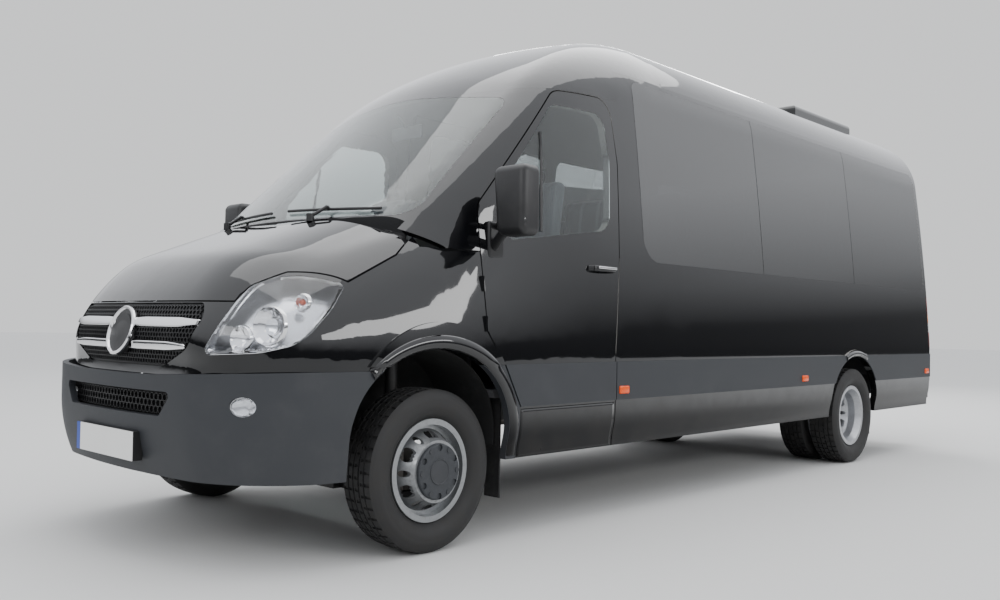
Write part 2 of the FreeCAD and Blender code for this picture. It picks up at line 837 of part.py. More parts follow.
def bumper_zone(grow):
    """Front view outline of all that belongs to the front bumper."""
    points = [(-side_far, bumper_foot_z), (side_far, bumper_foot_z), (side_far, bumper_side_top_z),
              (bumper_rise_half * 3, bumper_side_top_z - panel_gap), (bumper_rise_half, bumper_top_z),
              (-bumper_rise_half, bumper_top_z), (-bumper_rise_half * 3, bumper_side_top_z - panel_gap),
              (-side_far, bumper_side_top_z)]
    return front_prism(points, -front_overhang - overrun, arch_a, None, grow)


def make_nose(nose, sheet, flare, lamp_block):
    """Bonnet, wings, lamps, and the panel that carries the grille."""
    gap = panel_gap / 2
    behind_screen = behind_curve(0.0, sill_z, roof_z)
    bonnet = sheet.common(bonnet_region(-gap)).cut(behind_curve(cowl_depth, sill_z, roof_z))
    bonnet = bonnet.cut(lamp_region(panel_gap)).cut(mirrored(lamp_region(panel_gap)))
    add("bonnet", *solids_of(bonnet, offcut_volume))
    zone = wing_zone(-seat_gap)
    wing = nose.common(zone).cut(bumper_zone(seat_gap)).cut(bonnet_region(gap))
    wing = wing.cut(box(-side_far, side_far, arch_a, side_far, sill_z - overrun, strip_high_z))
    wing = wing.cut(lamp_region(0.0)).cut(grille_region(0.0))
    keep = box(screen_half, side_far, -side_far, side_far, sill_z, sail_front_z)
    wing = wing.cut(behind_screen.cut(keep))
    lip = flare.common(arch_region(flare_a, arch_z, flare_run, flare_rise, 0.0))
    lip = lip.cut(below(strip_high_z)).common(zone)
    wing = wing.fuse(lip).cut(front_arch(0.0))
    for leaf in wing_hinge_leaves():
        wing = wing.fuse(leaf)
    for piece in solids_of(wing, offcut_volume):
        add("wings", *both(piece))
    lamp = lamp_block.common(lamp_region(-seat_gap))
    for piece in solids_of(lamp):
        add("headlamps", *both(piece))


# Front bumper openings
bumper_top_z = 752.0
bumper_side_top_z = 785.0
bumper_foot_z = 345.0
bumper_rise_half = 300.0
intake_half = 480.0
intake_low_half = 400.0
intake_low_z = 592.0
intake_high_z = 690.0
fog_x = 772.0
fog_z = 647.0
fog_radius = 38.0
fog_depth = 60.0


def make_front_bumper(shell):
    """Bumper shell with its air intake and lamp holes, open behind at the arches."""
    bumper = shell.common(bumper_zone(0.0))
    bumper = bumper.cut(front_arch(0.0)).cut(mirrored(front_arch(0.0)))
    intake = [(-intake_low_half, intake_low_z), (intake_low_half, intake_low_z),
              (intake_half, intake_high_z), (-intake_half, intake_high_z)]
    bumper = bumper.cut(front_prism(intake, -front_overhang - overrun, -front_overhang / 2, fog_radius / 2))
    for side in (-1, 1):
        bumper = bumper.cut(fog_cylinder(side, fog_radius + seat_gap, 6 * fog_depth))
    add("front_bumper", *solids_of(bumper, offcut_volume))


def fog_cylinder(side, radius, length):
    """Round space along the fog lamp's axis, which points ahead."""
    start_a = -front_overhang - overrun
    return Part.makeCylinder(radius, length, vec(side * fog_x, start_a, fog_z), vec(0.0, 1.0, 0.0))


def make_fog_lamps(block):
    for side in (-1, 1):
        add("fog_lamps", *solids_of(block.common(fog_cylinder(side, fog_radius, 5 * fog_depth))))


def make_grille(nose_block):
    """Grille plate in its opening, with bars across it."""
    plate = nose_block.common(grille_region(-seat_gap))
    for piece in solids_of(plate):
        add("grille", piece)


def make_strips(strip):
    """Protective strips on the fixed body."""
    fixed = strip.common(left_half())
    fixed = fixed.cut(box(0.0, side_far, -side_far * 2, b_pillar_a + panel_gap / 2, -overrun, roof_z))
    fixed = fixed.cut(rear_arch(0.0))
    left = [piece for piece in solids_of(fixed)]
    add("side_strips", *left)
    span = box(-side_far, 0.0, slide_front_a - panel_gap / 2, slide_rear_a + panel_gap / 2, -overrun, roof_z)
    door_span = box(-side_far, 0.0, slide_front_a + panel_gap / 2, slide_rear_a - panel_gap / 2,
                    -overrun, roof_z)
    for piece in left:
        right = mirrored(piece)
        add("side_strips", *solids_of(right.cut(span)))
        add("side_strips", *solids_of(right.common(door_span)))


def make_front_post_trim(skin):
    """Foot of the door post between the front arch and the door."""
    zone = side_prism([(arch_a, sill_z), (door_foot_a - panel_gap, sill_z), (door_foot_a, strip_low_z),
                       (door_bend_a - panel_gap, strip_high_z - seat_gap), (arch_a, strip_high_z - seat_gap)],
                      0.0, side_far)
    piece = skin.common(zone).cut(front_arch(0.0))
    for part in solids_of(piece):
        add("side_strips", *both(part))


def rear_opening_half():
    """Rear opening on one side, seen from behind."""
    return [(0.0, rear_door_low_z), (rear_door_half, rear_door_low_z), (rear_door_half, rear_door_waist_z),
            (rear_door_top_half, rear_door_top_z), (0.0, rear_door_top_z)]


def make_rear_end():
    """Frame round the rear doors, the two door leaves with their windows, and the lamps."""
    section = section_face(cabin_end_a, 0.0, rear_bumper_top_z + seat_gap)
    block = section.extrude(vec(0.0, rear_face_a - cabin_end_a, 0.0))
    outer_edges = [edge for edge in block.Edges
                   if min(v.Y for v in edge.Vertexes) > rear_face_a - seat_gap and edge.BoundBox.ZMax > belt_z]
    block = block.makeFillet(rear_corner, outer_edges)
    half = rear_opening_half()
    points = half[1:4] + [(-x, z) for x, z in half[3:0:-1]]
    radii = rear_door_radii + rear_door_radii[::-1]
    frame = block.cut(front_prism(points, cabin_end_a - overrun, rear_a + overrun, radii))
    lamp_x, gap = half_width - tail_lamp_width, seat_gap
    lamp_zone = box(lamp_x, side_far, cabin_end_a, rear_a, tail_lamp_low_z, tail_lamp_high_z)
    lamp_hole = box(lamp_x - gap, side_far, cabin_end_a - gap, rear_a,
                    tail_lamp_low_z - gap, tail_lamp_high_z + gap)
    for piece in solids_of(block.common(lamp_zone)):
        add("tail_lamps", *both(piece))
    frame = frame.cut(lamp_hole).cut(mirrored(lamp_hole))
    for z in rear_hinge_heights:
        start = rear_hinge_x + rear_hinge_radius + seat_gap
        leaf = box(start, rear_hinge_x + rear_hinge_reach, rear_face_a - rear_leaf_wall,
                   rear_face_a + rear_leaf_wall, z, z + rear_hinge_length)
        frame = frame.fuse(leaf).fuse(mirrored(leaf))
    add("rear_frame", *solids_of(frame))
    make_rear_doors(half)


rear_hinge_x = rear_door_half + panel_gap / 2
rear_hinge_a = rear_a - rear_hinge_radius


def rear_hinge(z):
    """Barrel and strap of one rear door hinge."""
    barrel = Part.makeCylinder(rear_hinge_radius, rear_hinge_length, vec(rear_hinge_x, rear_hinge_a, z))
    strap = box(rear_hinge_x - rear_hinge_reach, rear_hinge_x, rear_face_a, rear_face_a + rear_hinge_radius,
                z, z + rear_hinge_length)
    return barrel.fuse(strap)


def make_rear_doors(half):
    gap = panel_gap
    leaf_points = [(gap / 2, rear_door_low_z + gap), (rear_door_half - gap, rear_door_low_z + gap),
                   (rear_door_half - gap, rear_door_waist_z), (rear_door_top_half - gap, rear_door_top_z - gap),
                   (gap / 2, rear_door_top_z - gap)]
    leaf = front_prism(leaf_points, rear_face_a - rear_door_wall, rear_face_a, rear_leaf_radii)
    edge = rear_window_inset
    lean = (rear_door_half - rear_door_top_half) / (rear_door_top_z - rear_door_waist_z)
    low_half = rear_door_half - edge - lean * (rear_window_low_z - rear_door_waist_z)
    top_half = rear_door_half - edge - lean * (rear_window_top_z - rear_door_waist_z)
    window = [(edge, rear_window_low_z), (low_half, rear_window_low_z),
              (top_half, rear_window_top_z), (edge, rear_window_top_z)]
    hole = front_prism(window, rear_face_a - rear_door_wall - overrun, rear_a, rear_window_corner, seat_gap)
    pane = front_prism(window, rear_face_a - glass_wall, rear_face_a, rear_window_corner)
    door = leaf.cut(hole)
    for z in rear_hinge_heights:
        door = door.fuse(rear_hinge(z))
    for side, turn in (("left", lambda shape: shape), ("right", mirrored)):
        add("rear_door_" + side, turn(door))
        add("rear_glass_" + side, turn(pane))


def make_rear_bumper():
    """Bumper step across the back, below the doors."""
    reach = half_width - overrun / 2
    front = cabin_end_a + seat_gap
    points = [(-reach, front), (reach, front), (reach, rear_a), (-reach, rear_a)]
    radii = [0.0, 0.0, rear_bumper_corner, rear_bumper_corner]
    bar = top_prism(points, rear_bumper_low_z, rear_bumper_top_z, radii)
    hollow = box(-reach + overrun + wall, reach - overrun - wall, front - overrun, rear_a - rear_bumper_wall,
                 rear_bumper_low_z - overrun, rear_bumper_top_z - rear_bumper_wall)
    add("rear_bumper", bar.cut(hollow))


# Floor, bulkhead, chassis, engine
floor_z = 640.0
floor_wall = 40.0
floor_front_a = 330.0
floor_half = 925.0
floor_side_gap = 1.2
well_half_run = 430.0
well_top_z = 850.0
well_wall = 6.0
bulkhead_wall = 30.0
rail_x = 430.0
rail_width = 60.0
rail_low_z = 470.0
rail_height = 130.0
rail_front_a = -860.0
cross_places_share = [-0.19, 0.14, 0.36, 0.58, 0.80, 1.20, 1.32]
outrigger_places_share = [0.14, 0.36, 0.58, 0.80, 1.20]
cross_width = 80.0
cross_height = 70.0
engine_half = 260.0
engine_front_a = -640.0
engine_rear_a = 20.0
engine_low_z = 400.0
engine_high_z = 1080.0
engine_mount_a = -300.0


def arch_hollow(grow, x_from):
    """Both front arches as one shape to cut away, from one distance off the middle outwards."""
    hollow = front_arch(grow, x_from)
    return hollow.fuse(mirrored(hollow))


def make_floor():
    """Cabin floor with the sliding door's step, its wheel wells and room for the front arches."""
    floor = box(-floor_half, floor_half, floor_front_a, cabin_end_a - panel_gap, floor_z, floor_z + floor_wall)
    wide = half_width - wall - floor_side_gap
    floor = floor.fuse(box(-wide, wide, b_post_a, cabin_end_a - panel_gap, floor_z, floor_z + floor_wall))
    step_x = half_width - wall - seat_gap
    floor = floor.fuse(box(-step_x, -floor_half, slide_front_a + slide_corner, slide_rear_a - slide_corner,
                           floor_z, floor_z + floor_wall))
    run = well_half_run
    for side in (-1, 1):
        outer = sorted((side * (rear_liner_inner_x - well_wall), side * wide))
        inner = sorted((side * rear_liner_inner_x, side * side_far))
        well = box(outer[0], outer[1], wheelbase - run, wheelbase + run, floor_z, well_top_z)
        hollow = box(inner[0], inner[1], wheelbase - run + well_wall, wheelbase + run - well_wall,
                     floor_z - overrun, well_top_z - well_wall)
        floor = floor.fuse(well).cut(hollow)
    add("floor", floor.cut(arch_hollow(liner_wall + seat_gap, liner_inner_x - liner_wall - seat_gap)))


def make_bulkhead():
    """Wall between engine bay and cab."""
    half = floor_half - 2 * overrun
    sheet = box(-half, half, floor_front_a - bulkhead_wall, floor_front_a - seat_gap, floor_z,
                screen_foot_z - 2 * overrun)
    add("bulkhead", sheet.cut(arch_hollow(liner_wall + seat_gap, liner_inner_x - liner_wall - seat_gap)))


def make_arch_liners():
    """Linings of the front wheel arches: a curved roof and an inner wall."""
    outer_x = floor_half - overrun / 2 - 2 * panel_gap
    shell = front_arch(liner_wall, liner_inner_x - liner_wall, outer_x)
    shell = shell.cut(front_arch(0.0, liner_inner_x, side_far))
    add("arch_liners", *both(shell.cut(below(liner_low_z))))


def make_cowl(skin):
    """Scuttle between the bonnet's rear edge and the foot of the windscreen, lower than both."""
    strip = skin.common(behind_curve(cowl_depth + cowl_under, sill_z, roof_z))
    strip = strip.cut(behind_curve(cowl_rear + seat_gap, sill_z, roof_z))
    add("cowl", *solids_of(strip.common(bonnet_region(panel_gap / 2 - seat_gap))))


outrigger_low_z = rail_low_z + rail_height + seat_gap


def make_chassis():
    """Two long rails, cross members between them, beams on top of them and arms to the engine."""
    rail_inner = rail_x - rail_width / 2
    rail = box(rail_inner, rail_x + rail_width / 2, rail_front_a, cabin_end_a - overrun,
               rail_low_z, rail_low_z + rail_height)
    add("chassis_frame", *both(rail))
    low, half, reach = rail_low_z + (rail_height - cross_height) / 2, cross_width / 2, rail_inner - seat_gap
    for share in cross_places_share:
        a = wheelbase * share
        add("chassis_frame", box(-reach, reach, a - half, a + half, low, low + cross_height))
    for share in outrigger_places_share:
        a = wheelbase * share
        add("chassis_frame", box(-floor_half, floor_half, a - half, a + half,
                                 outrigger_low_z, floor_z - seat_gap))
    mount = box(engine_half + seat_gap, reach, engine_mount_a - half, engine_mount_a + half,
                low, low + cross_height)
    add("chassis_frame", *both(mount))


def make_engine():
    add("engine", box(-engine_half, engine_half, engine_front_a, engine_rear_a, engine_low_z, engine_high_z))


# Fuel tank and exhaust
tank_front_a = 1900.0
tank_length = 900.0
tank_half = 190.0
tank_x = -690.0
tank_low_z = 330.0
tank_corner = 40.0
exhaust_radius = 27.0
exhaust_x = 230.0
silencer_radius = 90.0
silencer_front_a = 1680.0
silencer_length = 700.0
exhaust_end_a = 3600.0
exhaust_reach = 900.0


def make_tank():
    """Fuel tank on the right, hung from the arms of the frame."""
    tank = box(tank_x - tank_half, tank_x + tank_half, tank_front_a, tank_front_a + tank_length,
               tank_low_z, outrigger_low_z - seat_gap)
    low_edges = [edge for edge in tank.Edges if edge.BoundBox.ZMin < tank_low_z + tank_corner]
    add("fuel_tank", tank.makeFillet(tank_corner, low_edges))


def make_exhaust():
    """Exhaust pipe from the engine, its silencer, and the outlet ahead of the rear wheel."""
    z = rail_low_z - seat_gap - exhaust_radius
    back = vec(0.0, 1.0, 0.0)
    start = engine_rear_a + seat_gap
    pipe = Part.makeCylinder(exhaust_radius, exhaust_end_a - start, vec(exhaust_x, start, z), back)
    silencer_start = vec(exhaust_x, silencer_front_a, z)
    pipe = pipe.fuse(Part.makeCylinder(silencer_radius, silencer_length, silencer_start, back))
    outlet = across_cylinder(exhaust_radius, exhaust_x, exhaust_reach, exhaust_end_a, z)
    add("exhaust", pipe.fuse(outlet).fuse(Part.makeSphere(exhaust_radius, vec(exhaust_x, exhaust_end_a, z))))


# Wheels
tyre_facets = 60
tread_half = 82.0
bulge_half = 104.0
bulge_radius = 285.0
bead_rise = 3.0
disc_offset = 117.0
disc_wall = 10.0
disc_flat_radius = 132.0
drop_radius = 176.0
vent_circle = 153.0
vent_radius = 14.0
slot_spread = math.radians(6.5)
vent_count = 12
spindle_gap = 0.5
hub_cap_radius = 118.0
hub_cap_reach = 16.0
hub_wall_radius = 62.0
hub_length = 120.0


def turned(edges, x):
    """Ring turned about the wheel's axle from a closed profile."""
    return Part.Face(Part.Wire(edges)).revolve(vec(x, 0.0, 0.0), vec(1.0, 0.0, 0.0), 360.0)


def profile(points, x, outward):
    """Closed profile from (distance across, radius) points."""
    return Part.makePolygon([vec(x + outward * u, 0.0, r) for u, r in points + points[:1]]).Edges


def tyre(x):
    """Tyre with bulged side walls in flat facets, round the axle at height zero."""
    bead, flange = rim_width / 2 - seat_gap, rim_flange_radius + bead_rise
    seat = rim_radius / math.cos(math.pi / tyre_facets) + seat_gap
    half = [(bead, seat), (bead, flange), (bulge_half, bulge_radius), (tread_half, tyre_radius)]
    ring = half + [(-u, r) for u, r in half[::-1]]
    faces = []
    for i in range(tyre_facets):
        turns = [2 * math.pi * (i + step) / tyre_facets for step in (0, 1)]
        for (u0, r0), (u1, r1) in zip(ring, ring[1:] + ring[:1]):
            corners = [(u0, r0, turns[0]), (u1, r1, turns[0]), (u1, r1, turns[1]), (u0, r0, turns[1])]
            points = [vec(x + u, r * math.sin(turn), r * math.cos(turn)) for u, r, turn in corners]
            faces.append(Part.Face(Part.makePolygon(points + points[:1])))
    shell = Part.makeShell(faces)
    shell.sewShape()
    solid = Part.makeSolid(shell)
    if solid.Volume < 0:
        solid.reverse()
    return solid


def rim(x, outward, bore):
    """Steel wheel: barrel, and a disc that stands out to the mounting face on one side."""
    half, thick, seat, flange, drop = rim_width / 2, rim_wall, rim_radius, rim_flange_radius, drop_radius
    back = disc_offset - disc_wall
    points = [(-half - thick, flange), (-half - thick, seat - thick), (-half / 2, drop),
              (half / 3 - thick, drop), (back, disc_flat_radius - disc_wall / 2), (back, bore), (disc_offset, bore),
              (disc_offset, disc_flat_radius), (half / 2, drop), (half / 2, seat - thick),
              (half + thick, seat - thick), (half + thick, flange), (half, flange), (half, seat),
              (half / 2 - thick, seat), (half / 3 - thick, drop + thick), (-half / 2 + thick, drop + thick),
              (-half + thick, seat), (-half, seat), (-half, flange)]
    wheel = turned(profile(points, x, outward), x)
    for i in range(vent_count):
        angle = 2 * math.pi * i / vent_count
        spread = 0.0 if i % 2 else slot_spread
        for turn in sorted({angle - spread, angle, angle + spread}):
            start = vec(x - 2 * disc_offset, vent_circle * math.sin(turn), vent_circle * math.cos(turn))
            wheel = wheel.cut(Part.makeCylinder(vent_radius, 4 * disc_offset, start, vec(1.0, 0.0, 0.0)))
    return wheel


def placed(shape, a):
    copy = shape.copy()
    copy.translate(vec(0.0, a, wheel_z))
    return copy


def hub(x0, length, radius, bore):
    """Hollow hub round the axle line."""
    ring = across_cylinder(radius, x0, x0 + length, 0.0, 0.0)
    return ring.cut(across_cylinder(bore, x0 - overrun, x0 + length + overrun, 0.0, 0.0))


def hub_cap(x):
    """Cap over the front hub with six round hollows for the nuts."""
    cap = across_cylinder(hub_cap_radius, x, x + hub_cap_reach, 0.0, 0.0)
    edge = [e for e in cap.Edges if e.Closed and e.BoundBox.XMin > x + hub_cap_reach / 2]
    cap = cap.makeFillet(hub_cap_reach / 2, edge)
    for i in range(stud_count):
        angle = 2 * math.pi * i / stud_count
        stud = across_cylinder(vent_radius, x + hub_cap_reach / 2, x + 2 * hub_cap_reach, 0.0, 0.0)
        stud.translate(vec(0.0, stud_circle_radius * math.sin(angle), stud_circle_radius * math.cos(angle)))
        cap = cap.cut(stud)
    return cap


def make_front_wheels():
    """Front wheels: tyre, rim and the hub with its cap, turning on the spindle."""
    bore = spindle_radius + spindle_gap
    face_x = front_wheel_x + disc_offset
    rubber = placed(tyre(front_wheel_x), 0.0)
    steel = rim(front_wheel_x, 1, bore).fuse(hub(face_x - hub_length, hub_length, hub_wall_radius, bore))
    steel = placed(steel.fuse(hub_cap(face_x)), 0.0)
    for side, turn in (("left", lambda shape: shape), ("right", mirrored)):
        add("tyre_front_" + side, turn(rubber))
        add("rim_front_" + side, turn(steel))


def make_rear_wheels():
    """Twin rear wheels, back to back on one hub."""
    outer_x, inner_x = rear_wheel_x + twin_offset, rear_wheel_x - twin_offset
    tyres = [placed(tyre(outer_x), wheelbase), placed(tyre(inner_x), wheelbase)]
    rims = rim(outer_x, -1, hub_radius - rim_wall).fuse(rim(inner_x, 1, hub_radius - rim_wall))
    rims = rims.fuse(hub(rear_wheel_x - hub_length / 2, hub_length, hub_radius, spindle_radius + spindle_gap))
    for side, turn in (("left", lambda shape: shape), ("right", mirrored)):
        add("tyres_rear_" + side, *[turn(rubber) for rubber in tyres])
        add("rims_rear_" + side, turn(placed(rims, wheelbase)))


# Front suspension and steering
knuckle_width = 50.0
knuckle_run = 70.0
knuckle_low_z = 250.0
knuckle_high_z = 450.0
spindle_end_x = 957.0
arm_inner_x = 380.0
arm_run = 90.0
arm_height = 36.0
upper_arm_height = 30.0
strut_radius = 28.0
strut_x = 665.0
pin_gap = 0.3


def make_knuckles():
    """Steering knuckles that turn on upright pins, each with its spindle."""
    half = knuckle_width / 2
    body = box(kingpin_x - half, kingpin_x + half, -knuckle_run / 2, knuckle_run / 2,
               knuckle_low_z, knuckle_high_z)
    spindle = across_cylinder(spindle_radius, kingpin_x + half - disc_wall, spindle_end_x, 0.0, wheel_z)
    hole = Part.makeCylinder(kingpin_radius + pin_gap, knuckle_high_z, vec(kingpin_x, 0.0, 0.0))
    knuckle = body.fuse(spindle).cut(hole)
    add("knuckle_left", knuckle)
    add("knuckle_right", mirrored(knuckle))


def make_front_suspension():
    """Cross member with arms below and above the knuckles, the pins between them, and the struts."""
    low_z = knuckle_low_z - arm_height - panel_gap
    high_z = knuckle_high_z + panel_gap
    end_x = kingpin_x + knuckle_width / 2
    frame = box(-arm_inner_x, arm_inner_x, -arm_run, arm_run, low_z, low_z + 2 * arm_height)
    half_frame = box(arm_inner_x - overrun, end_x, -arm_run / 2, arm_run / 2, low_z, low_z + arm_height)
    top_z = high_z + upper_arm_height
    half_frame = half_frame.fuse(box(strut_x - strut_radius, end_x, -arm_run / 3, arm_run / 3, high_z, top_z))
    half_frame = half_frame.fuse(box(arm_inner_x - overrun / 4, rail_x, -arm_run / 2, arm_run / 2,
                                     low_z, rail_low_z - seat_gap))
    half_frame = half_frame.fuse(Part.makeCylinder(kingpin_radius, top_z - low_z, vec(kingpin_x, 0.0, low_z)))
    strut = Part.makeCylinder(strut_radius, arch_rise, vec(strut_x, 0.0, high_z + upper_arm_height / 2))
    half_frame = half_frame.fuse(strut.common(front_arch(-seat_gap)))
    add("front_suspension", frame.fuse(half_frame).fuse(mirrored(half_frame)))


# Rear axle
axle_tube_radius = 48.0
gear_radius = 150.0
shaft_radius = 38.0
shaft_front_z = 440.0
spring_x = 500.0
spring_width = 60.0
spring_half_run = 640.0
spring_wall = 36.0


def make_rear_axle():
    """Axle tube with its gear housing, drive shaft, leaf springs and the stub ends in the hubs."""
    end_x = rear_wheel_x - twin_offset - rim_width / 2 + 2 * disc_wall
    stub_x = rear_wheel_x + hub_length / 4
    axle = across_cylinder(axle_tube_radius, -end_x, end_x, wheelbase, wheel_z)
    axle = axle.fuse(across_cylinder(spindle_radius, -stub_x, stub_x, wheelbase, wheel_z))
    axle = axle.fuse(Part.makeSphere(gear_radius, vec(0.0, wheelbase, wheel_z)))
    front = vec(0.0, engine_rear_a + seat_gap + shaft_radius / 4, shaft_front_z)
    run = vec(0.0, wheelbase, wheel_z) - front
    axle = axle.fuse(Part.makeCylinder(shaft_radius, run.Length, front, run))
    low = wheel_z + axle_tube_radius - seat_gap
    half, reach = spring_width / 2, spring_half_run
    for side in (-1, 1):
        x0, x1 = side * spring_x - half, side * spring_x + half
        axle = axle.fuse(box(x0, x1, wheelbase - reach, wheelbase + reach, low, low + spring_wall))
        for end in (-1, 1):
            a = wheelbase + end * (reach - half)
            axle = axle.fuse(box(x0, x1, a - half, a + half, low, floor_z - seat_gap))
    add("rear_axle", axle)


# Cab fittings
dash_rear_a = 700.0
dash_low_z = 1000.0
dash_high_z = 1395.0
dash_radii = [10.0, 60.0, 60.0, 60.0, 10.0]
wheel_ring_radius = 190.0
wheel_ring_wall = 15.0
wheel_ring_a = 785.0
wheel_ring_z = 1330.0
wheel_ring_slope = 35.0
column_radius = 30.0
column_reach = 220.0


def steering_axis():
    slope = math.radians(wheel_ring_slope)
    return vec(0.0, math.sin(slope), math.cos(slope))


def steering_column(radius):
    centre = vec(driver_x, wheel_ring_a, wheel_ring_z)
    return Part.makeCylinder(radius, column_reach, centre, steering_axis() * -1)


def make_dashboard():
    """Dashboard across the cab, with the hole for the steering column."""
    front_a = floor_front_a + seat_gap
    points = [(front_a, dash_low_z), (dash_rear_a - 2 * overrun, dash_low_z),
              (dash_rear_a, dash_high_z - 2 * overrun), (dash_rear_a - overrun, dash_high_z),
              (front_a, dash_high_z + overrun / 2)]
    half = floor_half - 2 * overrun
    add("dashboard", side_prism(points, -half, half, dash_radii).cut(steering_column(column_radius + seat_gap)))


def make_steering_wheel():
    """Steering wheel with its hub, two spokes and column."""
    centre, axis = vec(driver_x, wheel_ring_a, wheel_ring_z), steering_axis()
    width = 2 * wheel_ring_wall
    ring = Part.makeTorus(wheel_ring_radius, wheel_ring_wall, centre, axis)
    spokes = box(-wheel_ring_radius, wheel_ring_radius, -width / 2, width / 2,
                 -wheel_ring_wall / 2, wheel_ring_wall / 2)
    spokes.rotate(vec(0.0, 0.0, 0.0), vec(1.0, 0.0, 0.0), -wheel_ring_slope)
    spokes.translate(centre)
    middle = Part.makeCylinder(2 * width, width, centre - axis * (width / 2), axis)
    add("steering_wheel", ring.fuse(spokes).fuse(middle).fuse(steering_column(column_radius)))


# Seats
seat_width = 470.0
seat_depth = 500.0
seat_top_z = 1050.0
seat_pad = 130.0
seat_back_height = 720.0
seat_back_wall = 130.0
seat_lean = 90.0
seat_pad_gap = 6.0
seat_pad_corner = 43.0
seat_back_radii = [40.0, 30.0, 40.0, 30.0]
seat_base_inset = 80.0
driver_x = 480.0
cab_seat_a = 1150.0
bench_x = -420.0
bench_width = 860.0
row_count = 5
row_first_a = 2080.0
row_pitch = 800.0
row_places = [640.0, 200.0, -640.0]
row_seat_width = 430.0
row_seat_top_z = 1080.0


def make_seats():
    """Cab seats and the rows behind them."""
    add_seat(driver_x, cab_seat_a, seat_width, seat_top_z)
    add_seat(bench_x, cab_seat_a, bench_width, seat_top_z)
    for row in range(row_count):
        for x in row_places:
            add_seat(x, row_first_a + row * row_pitch, row_seat_width, row_seat_top_z)


def add_seat(x, a, width, top_z):
    """One seat: padded cushion and back, and the base, which stands on the floor or on a wheel well."""
    half = width / 2
    pad = box(x - half, x + half, a - seat_depth, a, top_z - seat_pad, top_z)
    pad = pad.makeFillet(seat_pad_corner, pad.Edges)
    low = top_z + seat_pad_gap
    points = [(a - seat_back_wall, low), (a, low), (a + seat_lean, low + seat_back_height),
              (a + seat_lean - seat_back_wall * 0.7, low + seat_back_height)]
    back = side_prism(points, x - half, x + half, seat_back_radii)
    front_a, rear_end = a - seat_depth + seat_base_inset, a + seat_back_wall
    on_well = (abs(x) + half / 2 > rear_liner_inner_x - well_wall and front_a < wheelbase + well_half_run
               and rear_end > wheelbase - well_half_run)
    foot_z = (well_top_z if on_well else floor_z + floor_wall) + seat_gap
    under = top_z - seat_pad - seat_gap
    base = box(x - half / 2, x + half / 2, front_a, a - seat_base_inset, foot_z, under)
    post_a = a + seat_lean * overrun / seat_back_height + seat_gap
    post = box(x - half / 2, x + half / 2, post_a, post_a + overrun / 4, foot_z + overrun, low + overrun)
    link = box(x - half / 2, x + half / 2, a - seat_base_inset, a + overrun / 4,
               foot_z + overrun, foot_z + 2 * overrun)
    add("seat_cushions", pad, back)
    add("seat_bases", base.fuse(link).fuse(post))


# Mirrors, roof unit, flaps, number plate
mirror_inner_x = 1015.0
mirror_outer_x = 1205.0
mirror_front_a = 250.0
mirror_rear_a = 345.0
mirror_low_z = 1365.0
mirror_high_z = 1680.0
mirror_corner = 36.0
mirror_arm_radius = 18.0
mirror_foot_a = 372.0
mirror_foot_z = 1330.0
roof_unit_half = 500.0
roof_unit_front_a = 4330.0
roof_unit_rear_a = 5370.0
roof_unit_height = 75.0
roof_unit_corner = 45.0
flap_wall = 8.0
flap_outer_x = 905.0
flap_low_z = 175.0
flap_front_a = 466.0
flap_rear_a = wheelbase + 468.0
plate_half = 260.0
plate_low_z = 402.0
plate_high_z = 520.0


def make_mirrors(door):
    """Door mirrors, each on an arm from the door's front corner."""
    head = box(mirror_inner_x, mirror_outer_x, mirror_front_a, mirror_rear_a, mirror_low_z, mirror_high_z)
    head = head.makeFillet(mirror_corner, head.Edges)
    foot = vec(side_half(mirror_foot_a, mirror_foot_z) - wall / 3, mirror_foot_a, mirror_foot_z)
    tip = vec(mirror_inner_x + mirror_corner, mirror_rear_a - mirror_corner, mirror_low_z + 2 * mirror_corner)
    arm = Part.makeCylinder(mirror_arm_radius, (tip - foot).Length, foot, tip - foot)
    arm = max(arm.cut(door).Solids, key=lambda piece: piece.BoundBox.XMax)
    mirror = head.fuse(arm)
    add("mirror_left", mirror)
    add("mirror_right", mirrored(mirror))


def make_roof_unit():
    """Low unit on the roof towards the rear."""
    block = box(-roof_unit_half, roof_unit_half, roof_unit_front_a, roof_unit_rear_a, roof_z - 2 * overrun,
                roof_z + roof_unit_height)
    block = block.makeFillet(roof_unit_corner, [edge for edge in block.Edges if edge.BoundBox.ZMin > roof_z])
    under = section_face(roof_unit_front_a - overrun, -seat_gap, floor_z)
    under = under.extrude(vec(0.0, roof_unit_rear_a - roof_unit_front_a + 2 * overrun, 0.0))
    add("roof_unit", block.cut(under))


def make_flaps():
    """Mud flaps behind the wheels, hung from the floor."""
    for a, x0 in ((flap_front_a, kingpin_x + overrun), (flap_rear_a, rear_liner_inner_x + overrun)):
        add("mud_flaps", *both(box(x0, flap_outer_x, a, a + flap_wall, flap_low_z, floor_z - seat_gap)))


def make_number_plate(bumper):
    """Bare plate and its holder, fitted to the face of the front bumper."""
    block = box(-plate_half, plate_half, -front_overhang - plate_depth, -front_overhang + bumper_wall,
                plate_low_z, plate_high_z)
    front = min(block.cut(bumper).Solids, key=lambda piece: piece.BoundBox.YMin)
    add("number_plate", front)


def finish_all():
    """Move every piece to the middle of the vehicle and write it out."""
    os.makedirs("parts", exist_ok=True)
    for name, shapes in nodes.items():
        shape = shapes[0] if len(shapes) == 1 else Part.makeCompound(shapes)
        moved = shape.copy()
        moved.translate(vec(0.0, origin_shift, 0.0))
        moved.exportStep("parts/" + name + ".step")
        good = all(piece.isValid() and piece.Volume > 0 for piece in moved.Solids)
        print(name, len(moved.Solids), "ok" if good else "BAD", round(moved.Volume / 1e9, 4))


nose_wall = 25.0
fog_stand_out = 6.0
bumper_low_angle = -10.0
bumper_high_angle = 62.0


